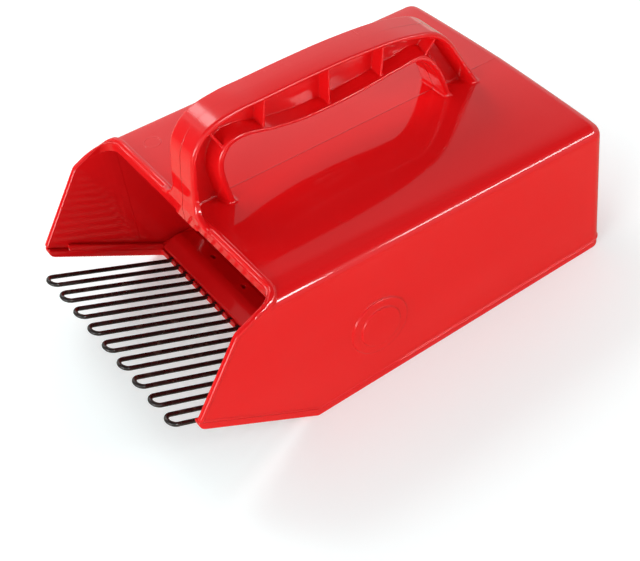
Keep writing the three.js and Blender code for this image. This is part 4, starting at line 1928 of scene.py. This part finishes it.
@dataclass(frozen=True)
class MouldedPlastic:
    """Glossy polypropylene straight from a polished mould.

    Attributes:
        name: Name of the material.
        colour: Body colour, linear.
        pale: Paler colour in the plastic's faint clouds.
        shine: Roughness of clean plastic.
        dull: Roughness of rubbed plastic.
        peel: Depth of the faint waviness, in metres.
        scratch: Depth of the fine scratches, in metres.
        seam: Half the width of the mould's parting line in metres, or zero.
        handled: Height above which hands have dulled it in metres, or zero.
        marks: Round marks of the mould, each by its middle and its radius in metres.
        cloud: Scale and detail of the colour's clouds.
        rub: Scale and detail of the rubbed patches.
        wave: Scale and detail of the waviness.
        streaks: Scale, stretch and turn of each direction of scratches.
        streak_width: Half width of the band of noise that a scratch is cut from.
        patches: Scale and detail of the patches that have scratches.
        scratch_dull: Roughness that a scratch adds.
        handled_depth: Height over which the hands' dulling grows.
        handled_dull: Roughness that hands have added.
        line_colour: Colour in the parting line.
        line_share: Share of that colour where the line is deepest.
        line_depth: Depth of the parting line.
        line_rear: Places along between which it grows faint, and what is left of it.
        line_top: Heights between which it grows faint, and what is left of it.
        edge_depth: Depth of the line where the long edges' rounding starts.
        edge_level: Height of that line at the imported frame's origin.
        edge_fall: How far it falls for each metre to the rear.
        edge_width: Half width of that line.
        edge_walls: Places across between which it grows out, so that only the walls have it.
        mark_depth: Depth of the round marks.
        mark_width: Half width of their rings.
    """

    name: str
    colour: Triple = (0.76, 0.0065, 0.0085)
    pale: Triple = (0.80, 0.012, 0.014)
    shine: float = 0.05
    dull: float = 0.13
    peel: float = 0.000012
    scratch: float = 0.000006
    seam: float = 0.0
    handled: float = 0.0
    marks: tuple[tuple[Triple, float], ...] = ()
    cloud: Pair = (18, 2)
    rub: Pair = (55, 5)
    wave: Pair = (95, 2)
    streaks: tuple = ((22, (26, 0.6, 0.6), (0, 0, 0.5)), (17, (0.5, 30, 0.5), (0, 0, -0.35)))
    streak_width: float = 0.007
    patches: Pair = (30, 1)
    scratch_dull: float = 0.12
    handled_depth: float = 0.012
    handled_dull: float = 0.14
    line_colour: Triple = (0.30, 0.003, 0.004)
    line_share: float = 0.6
    line_depth: float = 0.00022
    line_rear: Triple = (0.097, 0.101, 0.25)
    line_top: Triple = (0.113, 0.119, 0.12)
    edge_depth: float = 0.00005
    edge_level: float = 0.0716
    edge_fall: float = 0.04765
    edge_width: float = 0.0006
    edge_walls: Pair = (0.0690, 0.0694)
    mark_depth: float = 0.0001
    mark_width: float = 0.0003

    def make(self) -> bpy.types.Material:
        """Builds the material.

        Returns:
            The material.
        """
        made = bpy.data.materials.new(self.name)
        nodes = Nodes(made)
        where = nodes.add("TexCoord").outputs["Object"]
        fine = self._scratches(nodes, where)
        line = self._parting(nodes, where) if self.seam else None
        shader = nodes.add("BsdfPrincipled", IOR=1.49)
        nodes.link(self._tinted(nodes, where, line), shader.inputs["Base Color"])
        nodes.link(self._roughness(nodes, where, fine), shader.inputs["Roughness"])
        relief = nodes.bump(nodes.noise(where, *self.wave), self.peel)
        relief = nodes.bump(nodes.maths("SUBTRACT", 1.0, fine), self.scratch, relief)
        if line is not None:
            relief = nodes.bump(line, self.line_depth, relief)
            relief = nodes.bump(self._edge_line(nodes, where), self.edge_depth, relief)
        for middle, radius in self.marks:
            ring = self._ring(nodes, where, middle, radius)
            relief = nodes.bump(ring, self.mark_depth, relief)
        nodes.link(relief, shader.inputs["Normal"])
        nodes.show(shader.outputs[0])
        return made

    def _tinted(self, nodes: Nodes, where: Socket, line: Socket | None) -> Socket:
        """The faintly clouded colour, darker in the parting line if there is one.

        Args:
            nodes: The tree to fill.
            where: The coordinates.
            line: The parting line, if there is one.

        Returns:
            The colour.
        """
        flow = nodes.noise(where, *self.cloud, stretch=(1, 0.35, 1))
        colour = nodes.between(self.colour, self.pale, nodes.spread(flow, 0.35, 0.75, 0, 0.9))
        if line is None:
            return colour
        share = nodes.maths("MULTIPLY", line, self.line_share)
        return nodes.between(colour, self.line_colour, share)

    def _roughness(self, nodes: Nodes, where: Socket, fine: Socket) -> Socket:
        """Roughness with rubbed patches, scratches and what hands have dulled.

        Args:
            nodes: The tree to fill.
            where: The coordinates.
            fine: The scratches.

        Returns:
            The roughness.
        """
        rubbed = nodes.noise(where, *self.rub)
        roughness = nodes.spread(rubbed, 0.45, 0.8, self.shine, self.dull)
        scratched = nodes.maths("MULTIPLY", fine, self.scratch_dull)
        roughness = nodes.maths("ADD", roughness, scratched)
        if not self.handled:
            return roughness
        top = self.handled + self.handled_depth
        dulled = nodes.spread(nodes.split(where)["Z"], self.handled, top, 0, self.handled_dull)
        return nodes.maths("ADD", roughness, dulled)

    def _scratches(self, nodes: Nodes, where: Socket) -> Socket:
        """Fine straight scratches in two directions, few and far apart.

        Args:
            nodes: The tree to fill.
            where: The coordinates.

        Returns:
            One in a scratch and zero elsewhere.
        """
        lines = []
        for scale, stretch, turn in self.streaks:
            streak = nodes.noise(where, scale, 0, stretch, turn)
            narrow = nodes.maths("ABSOLUTE", nodes.maths("SUBTRACT", streak, 0.5))
            lines.append(nodes.spread(narrow, 0, self.streak_width, 1, 0))
        patches = nodes.spread(nodes.noise(where, *self.patches), 0.56, 0.66, 0, 1)
        return nodes.maths("MULTIPLY", nodes.maths("MAXIMUM", *lines), patches)

    def _parting(self, nodes: Nodes, where: Socket) -> Socket:
        """The mould's parting line along the middle, faint on top of the grip and at the rear.

        Args:
            nodes: The tree to fill.
            where: The coordinates.

        Returns:
            One in the line and zero elsewhere.
        """
        axes = nodes.split(where)
        line = nodes.spread(nodes.maths("ABSOLUTE", axes["X"]), 0, self.seam, 1, 0)
        for axis, (low, high, left) in (("Y", self.line_rear), ("Z", self.line_top)):
            line = nodes.maths("MULTIPLY", line, nodes.spread(axes[axis], low, high, 1, left))
        return line

    def _edge_line(self, nodes: Nodes, where: Socket) -> Socket:
        """The faint line on the side walls where the long edges' rounding starts.

        Args:
            nodes: The tree to fill.
            where: The coordinates.

        Returns:
            One in the line and zero elsewhere.
        """
        axes = nodes.split(where)
        fall = nodes.maths("MULTIPLY", axes["Y"], self.edge_fall)
        level = nodes.maths("ADD", axes["Z"], fall)
        off = nodes.maths("ABSOLUTE", nodes.maths("SUBTRACT", level, self.edge_level))
        outside = nodes.spread(nodes.maths("ABSOLUTE", axes["X"]), *self.edge_walls, 0, 1)
        return nodes.maths("MULTIPLY", nodes.spread(off, 0, self.edge_width, 1, 0), outside)

    def _ring(self, nodes: Nodes, where: Socket, middle: Sequence[float], radius: float) -> Socket:
        """A fine raised ring round a place.

        Args:
            nodes: The tree to fill.
            where: The coordinates.
            middle: Middle of the ring.
            radius: Its radius in metres.

        Returns:
            One on the ring and zero elsewhere.
        """
        apart = nodes.measure("DISTANCE", where, middle)
        off = nodes.maths("ABSOLUTE", nodes.maths("SUBTRACT", apart, radius))
        return nodes.spread(off, 0, self.mark_width, 1, 0)


@dataclass(frozen=True)
class CoatedWire:
    """Spring wire under a thin dark coating, rubbed in places.

    Attributes:
        name: Name of the material.
        colour: Colour of the coating.
        worn: Colour where it is rubbed.
        wear: Scale and detail of the rubbed places.
        patches: Scale and detail of the patches of other roughness.
        roughness: Least and most roughness.
        grain: Scale and detail of the coating's grain.
        grain_depth: Depth of the grain, in metres.
    """

    name: str = "coated_wire"
    colour: Triple = (0.014, 0.010, 0.009)
    worn: Triple = (0.06, 0.045, 0.035)
    wear: Pair = (260, 4)
    patches: Pair = (150, 3)
    roughness: Pair = (0.2, 0.38)
    grain: Pair = (900, 3)
    grain_depth: float = 0.00003

    def make(self) -> bpy.types.Material:
        """Builds the material.

        Returns:
            The material.
        """
        made = bpy.data.materials.new(self.name)
        nodes = Nodes(made)
        where = nodes.add("TexCoord").outputs["Object"]
        wear = nodes.spread(nodes.noise(where, *self.wear), 0.56, 0.72, 0, 1)
        patches = nodes.noise(where, *self.patches)
        shader = nodes.add("BsdfPrincipled", IOR=1.55)
        nodes.link(nodes.between(self.colour, self.worn, wear), shader.inputs["Base Color"])
        nodes.link(nodes.spread(patches, 0.3, 0.75, *self.roughness), shader.inputs["Roughness"])
        grain = nodes.bump(nodes.noise(where, *self.grain), self.grain_depth)
        nodes.link(grain, shader.inputs["Normal"])
        nodes.show(shader.outputs[0])
        return made


@dataclass(frozen=True)
class PlatedSteel:
    """Zinc-plated steel with turning marks and small stains.

    Attributes:
        name: Name of the material.
        colour: Colour of the zinc.
        stain: Colour of the stains.
        stains: Scale and detail of the stains.
        patches: Scale and detail of the patches of other roughness.
        roughness: Least and most roughness.
        turning: Scale and detail of the turning marks.
        turning_depth: Depth of the turning marks, in metres.
    """

    name: str = "plated_steel"
    colour: Triple = (0.58, 0.59, 0.61)
    stain: Triple = (0.36, 0.33, 0.27)
    stains: Pair = (420, 4)
    patches: Pair = (700, 3)
    roughness: Pair = (0.24, 0.42)
    turning: Pair = (1400, 2)
    turning_depth: float = 0.00002

    def make(self) -> bpy.types.Material:
        """Builds the material.

        Returns:
            The material.
        """
        made = bpy.data.materials.new(self.name)
        nodes = Nodes(made)
        where = nodes.add("TexCoord").outputs["Object"]
        stains = nodes.spread(nodes.noise(where, *self.stains), 0.5, 0.72, 0, 0.8)
        patches = nodes.noise(where, *self.patches)
        shader = nodes.add("BsdfPrincipled", Metallic=1.0)
        nodes.link(nodes.between(self.colour, self.stain, stains), shader.inputs["Base Color"])
        nodes.link(nodes.spread(patches, 0.3, 0.7, *self.roughness), shader.inputs["Roughness"])
        turning = nodes.noise(where, *self.turning, stretch=(1, 1, 7))
        nodes.link(nodes.bump(turning, self.turning_depth), shader.inputs["Normal"])
        nodes.show(shader.outputs[0])
        return made


# Round marks of the mould: where the plastic came in on the grip, and a ring on the roof
GATE_MARK = ((0, 0.0261, 0.1224), 0.001)
ROOF_MARK = ((-0.0518, -0.0479, 0.0791), 0.004)


class Finish(Enum):
    """The rake's finishes by name."""

    HOUSING = MouldedPlastic(
        "housing_red", seam=0.00028, handled=0.106, marks=(GATE_MARK, ROOF_MARK))
    FLOOR = MouldedPlastic("floor_red", colour=(0.74, 0.0065, 0.0085))
    CLAMP = MouldedPlastic("clamp_red", colour=(0.72, 0.0065, 0.0085))
    WIRE = CoatedWire()
    STEEL = PlatedSteel()


def dress(pieces: Sequence[bpy.types.Object], finish: Finish) -> None:
    """Gives pieces one finish.

    Args:
        pieces: The pieces.
        finish: The finish.
    """
    material = finish.value.make()
    for piece in pieces:
        piece.data.materials.clear()
        piece.data.materials.append(material)


# --- Studio ---


@dataclass(frozen=True)
class SoftBox:
    """One soft lamp.

    Attributes:
        name: Name of the lamp.
        place: Where it stands, in metres.
        aim: Where it points.
        size: Its two sides in metres.
        power: Its power in watts.
        in_gloss: Whether gloss shows it.
        lights: Whether it lights the surfaces.
    """

    name: str
    place: Triple
    aim: Triple
    size: Pair
    power: float
    in_gloss: bool = True
    lights: bool = True

    def build(self) -> None:
        """Makes the lamp."""
        lamp = bpy.data.lights.new(self.name, "AREA")
        lamp.shape = "RECTANGLE"
        lamp.size, lamp.size_y = self.size
        lamp.energy = self.power
        holder = bpy.data.objects.new(self.name, lamp)
        bpy.context.scene.collection.objects.link(holder)
        holder.visible_diffuse, holder.visible_glossy = self.lights, self.in_gloss
        holder.location = self.place
        back = Vector(self.place) - Vector(self.aim)
        holder.rotation_euler = back.to_track_quat("Z", "Y").to_euler()


# What the soft lamps point at: the scoop's middle, and places higher up
LOW_AIM = (0, 0, 0.05)
HIGH_AIM = (0, 0, 0.10)
NEAR_AIM = (0, 0, 0.09)


@dataclass(frozen=True)
class Studio:
    """White floor, soft lamps and the surroundings that the gloss shows.

    Attributes:
        lamps: The soft lamps.
        floor_size: Half the floor's side, in metres.
        floor_drop: How far the floor lies under the rake's underside, in metres.
        paper: Colour of the floor.
        paper_in_gloss: Colour that the gloss shows of it.
        glow_reach: Distances from the middle between which its glow grows; the dimmer glow inside
            is painted shade round the rake.
        glow: Strengths of that glow, the lower one near the rake as painted shade, the higher one
            keeping the floor white.
        glow_reach_in_gloss: Places to the rear left between which the gloss's glow grows.
        glow_in_gloss: Strengths of that glow.
        sky: Strength of the surroundings in the gloss at each height from 0 to 1.
        window: Direction of a dim window in them.
        window_edge: Nearness to that direction between which it dims.
        window_light: Share of the light that it leaves.
        even: Strength of the surroundings for all that isn't gloss.
    """

    lamps: tuple[SoftBox, ...] = (
        SoftBox("key_box_front", (1.33, 0.33, 0.72), LOW_AIM, (0.40, 0.30), 9.0, lights=False),
        SoftBox("key_box_rear", (1.06, 0.89, 0.72), LOW_AIM, (0.62, 0.17), 5.8),
        SoftBox("fill_box_front", (0.58, -1.38, 0.42), LOW_AIM, (0.80, 0.50), 12.0),
        SoftBox("top_box_left", (-0.89, -0.11, 1.07), HIGH_AIM, (0.38, 0.38), 2.8),
        SoftBox("near_box_left", (-0.30, -0.08, 0.33), NEAR_AIM, (0.30, 0.30), 0.7, in_gloss=False),
    )
    floor_size: float = 4.0
    floor_drop: float = 0.0002
    paper: Triple = (0.76, 0.85, 0.85)
    paper_in_gloss: Triple = (0.58, 0.53, 0.43)
    glow_reach: Pair = (0.08, 0.32)
    glow: Pair = (0.28, 0.58)
    glow_reach_in_gloss: Pair = (0.1, 1.2)
    glow_in_gloss: Pair = (0, 0.7)
    sky: tuple[Pair, ...] = (
        (0.0, 0.5), (0.1, 0.75), (0.25, 1.0), (0.545, 1.0), (0.62, 0.47), (0.675, 0.34),
        (0.715, 0.13), (1.0, 0.08))
    window: Triple = (-0.632, -0.720, 0.287)
    window_edge: Pair = (0.90, 0.95)
    window_light: float = 0.15
    even: float = 0.42

    def build(self) -> None:
        """Makes the floor, the lamps and the world."""
        self._floor()
        for lamp in self.lamps:
            lamp.build()
        self._world()

    def _floor(self) -> None:
        """Lays a plain white floor that keeps the rake's shadow."""
        s = self.floor_size
        mesh = bpy.data.meshes.new("studio_floor")
        mesh.from_pydata([(-s, -s, 0), (s, -s, 0), (s, s, 0), (-s, s, 0)], [], [(0, 1, 2, 3)])
        mesh.materials.append(self._white())
        holder = bpy.data.objects.new("studio_floor", mesh)
        holder.location.z = -self.floor_drop
        bpy.context.scene.collection.objects.link(holder)

    def _white(self) -> bpy.types.Material:
        """Makes the floor's finish: paper that glows a little, clear when seen from below.

        Returns:
            The material.
        """
        made = bpy.data.materials.new("studio_white")
        nodes = Nodes(made)
        path = nodes.add("LightPath").outputs
        where = nodes.add("TexCoord").outputs["Object"]
        gloss = path["Is Glossy Ray"]
        tint = nodes.between(self.paper, self.paper_in_gloss, gloss)
        paper = nodes.add_fed("BsdfDiffuse", tint)
        # Glow weaker near the middle paints shade on the floor round the rake; further out it keeps
        # the floor white.
        around = nodes.spread(nodes.measure("LENGTH", where), *self.glow_reach, *self.glow)
        axes = nodes.split(where)
        left = nodes.maths("SUBTRACT", axes["Y"], axes["X"])
        mirrored = nodes.spread(left, *self.glow_reach_in_gloss, *self.glow_in_gloss)
        glow = nodes.add("Emission", Color=(1, 1, 1, 1))
        nodes.link(nodes.either(gloss, mirrored, around), glow.inputs["Strength"])
        both = nodes.add("AddShader")
        nodes.link(paper, both.inputs[0])
        nodes.link(glow.outputs[0], both.inputs[1])
        behind = nodes.add("NewGeometry").outputs["Backfacing"]
        below = nodes.maths("MULTIPLY", path["Is Camera Ray"], behind)
        clear = nodes.add("BsdfTransparent")
        nodes.show(nodes.mixed(below, both.outputs[0], clear.outputs[0]))
        return made

    def _world(self) -> None:
        """Surrounds the rake with even light.

        The gloss sees a graded sky with a dim window instead, and the camera plain white.
        """
        world = bpy.data.worlds.new("studio_world")
        bpy.context.scene.world = world
        nodes = Nodes(world)
        where = nodes.add("TexCoord").outputs["Generated"]
        ramp = nodes.add("ValToRGB")
        ramp.color_ramp.interpolation = "LINEAR"
        while len(ramp.color_ramp.elements) < len(self.sky):
            ramp.color_ramp.elements.new(0.5)
        for element, (height, light) in zip(ramp.color_ramp.elements, self.sky):
            element.position = height
            element.color = (light, light, light, 1)
        nodes.link(nodes.split(where)["Z"], ramp.inputs[0])
        path = nodes.add("LightPath").outputs
        toward = nodes.measure("DOT_PRODUCT", where, self.window)
        dimmed = nodes.spread(toward, *self.window_edge, 1, self.window_light)
        sky = nodes.maths("MULTIPLY", ramp.outputs[0], dimmed)
        plain = nodes.add("Background", Color=(1, 1, 1, 1))
        light = nodes.either(path["Is Glossy Ray"], sky, self.even)
        nodes.link(light, plain.inputs["Strength"])
        white = nodes.add("Background", Color=(1, 1, 1, 1), Strength=1.0)
        seen = nodes.mixed(path["Is Camera Ray"], plain.outputs[0], white.outputs[0])
        nodes.show(seen, "OutputWorld")


@dataclass(frozen=True)
class PhotoCamera:
    """Camera at the photograph's viewpoint, worked out from the body's straight edges.

    Attributes:
        place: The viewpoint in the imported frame, in metres.
        azimuth: Direction of the view round the rake, in degrees.
        elevation: Height of the view above the floor, in degrees.
        roll: Turn of the picture, in degrees.
        lens: Focal length, in millimetres.
        sensor: Width of the sensor, in millimetres.
        clip: Nearest and furthest distance that it shows, in metres.
    """

    place: Triple = (0.42419, -0.23382, 0.46522)
    azimuth: float = 61.356
    elevation: float = 43.983
    roll: float = -9.08
    lens: float = 78.75
    sensor: float = 36
    clip: Pair = (0.01, 50)

    def build(self) -> None:
        """Makes the camera and lets the scene use it."""
        turn, rise, roll = (math.radians(v) for v in (self.azimuth, self.elevation, self.roll))
        out = math.cos(rise)
        back = Vector((math.sin(turn) * out, -math.cos(turn) * out, math.sin(rise)))
        level = Vector((0, 0, 1)).cross(back).normalized()
        upright = back.cross(level)
        right = math.cos(roll) * level + math.sin(roll) * upright
        up = -math.sin(roll) * level + math.cos(roll) * upright
        camera = bpy.data.cameras.new("photo_camera")
        camera.sensor_width = self.sensor
        camera.lens = self.lens
        camera.clip_start, camera.clip_end = self.clip
        holder = bpy.data.objects.new("photo_camera", camera)
        bpy.context.scene.collection.objects.link(holder)
        axes = Matrix((right, up, back)).transposed().to_4x4()
        holder.matrix_world = Matrix.Translation(Vector(self.place)) @ axes
        bpy.context.scene.camera = holder


def main() -> None:
    """Builds the camera, the studio and each piece of the rake in turn."""
    logging.basicConfig(level=logging.INFO, format="%(message)s")
    bpy.context.scene.view_settings.view_transform = "Standard"
    PhotoCamera().build()
    Studio().build()
    scoop = Scoop()
    comb = WireComb()
    housing = Housing(scoop)
    built = [
        ([housing.build()], Finish.HOUSING),
        ([BasePlate(scoop, housing.post, comb).build()], Finish.FLOOR),
        (comb.build(), Finish.WIRE),
        ([ClampBar(comb).build()], Finish.CLAMP),
    ]
    clamp_places = [(across, comb.screw_along) for across in comb.screws_across()]
    post_places = [(side * housing.post.across, y) for side in (-1, 1) for y in housing.post.along]
    screws = Screw("clamp_screw", length=6.7, places=clamp_places).build()
    screws += Screw("base_screw", length=12.0, places=post_places).build()
    built.append((screws, Finish.STEEL))
    for pieces, finish in built:
        dress(pieces, finish)
        for piece in pieces:
            log.info("%s: %d faces, %s", piece.name, len(piece.data.polygons), finish.value.name)


if __name__ == "__main__":
    main()
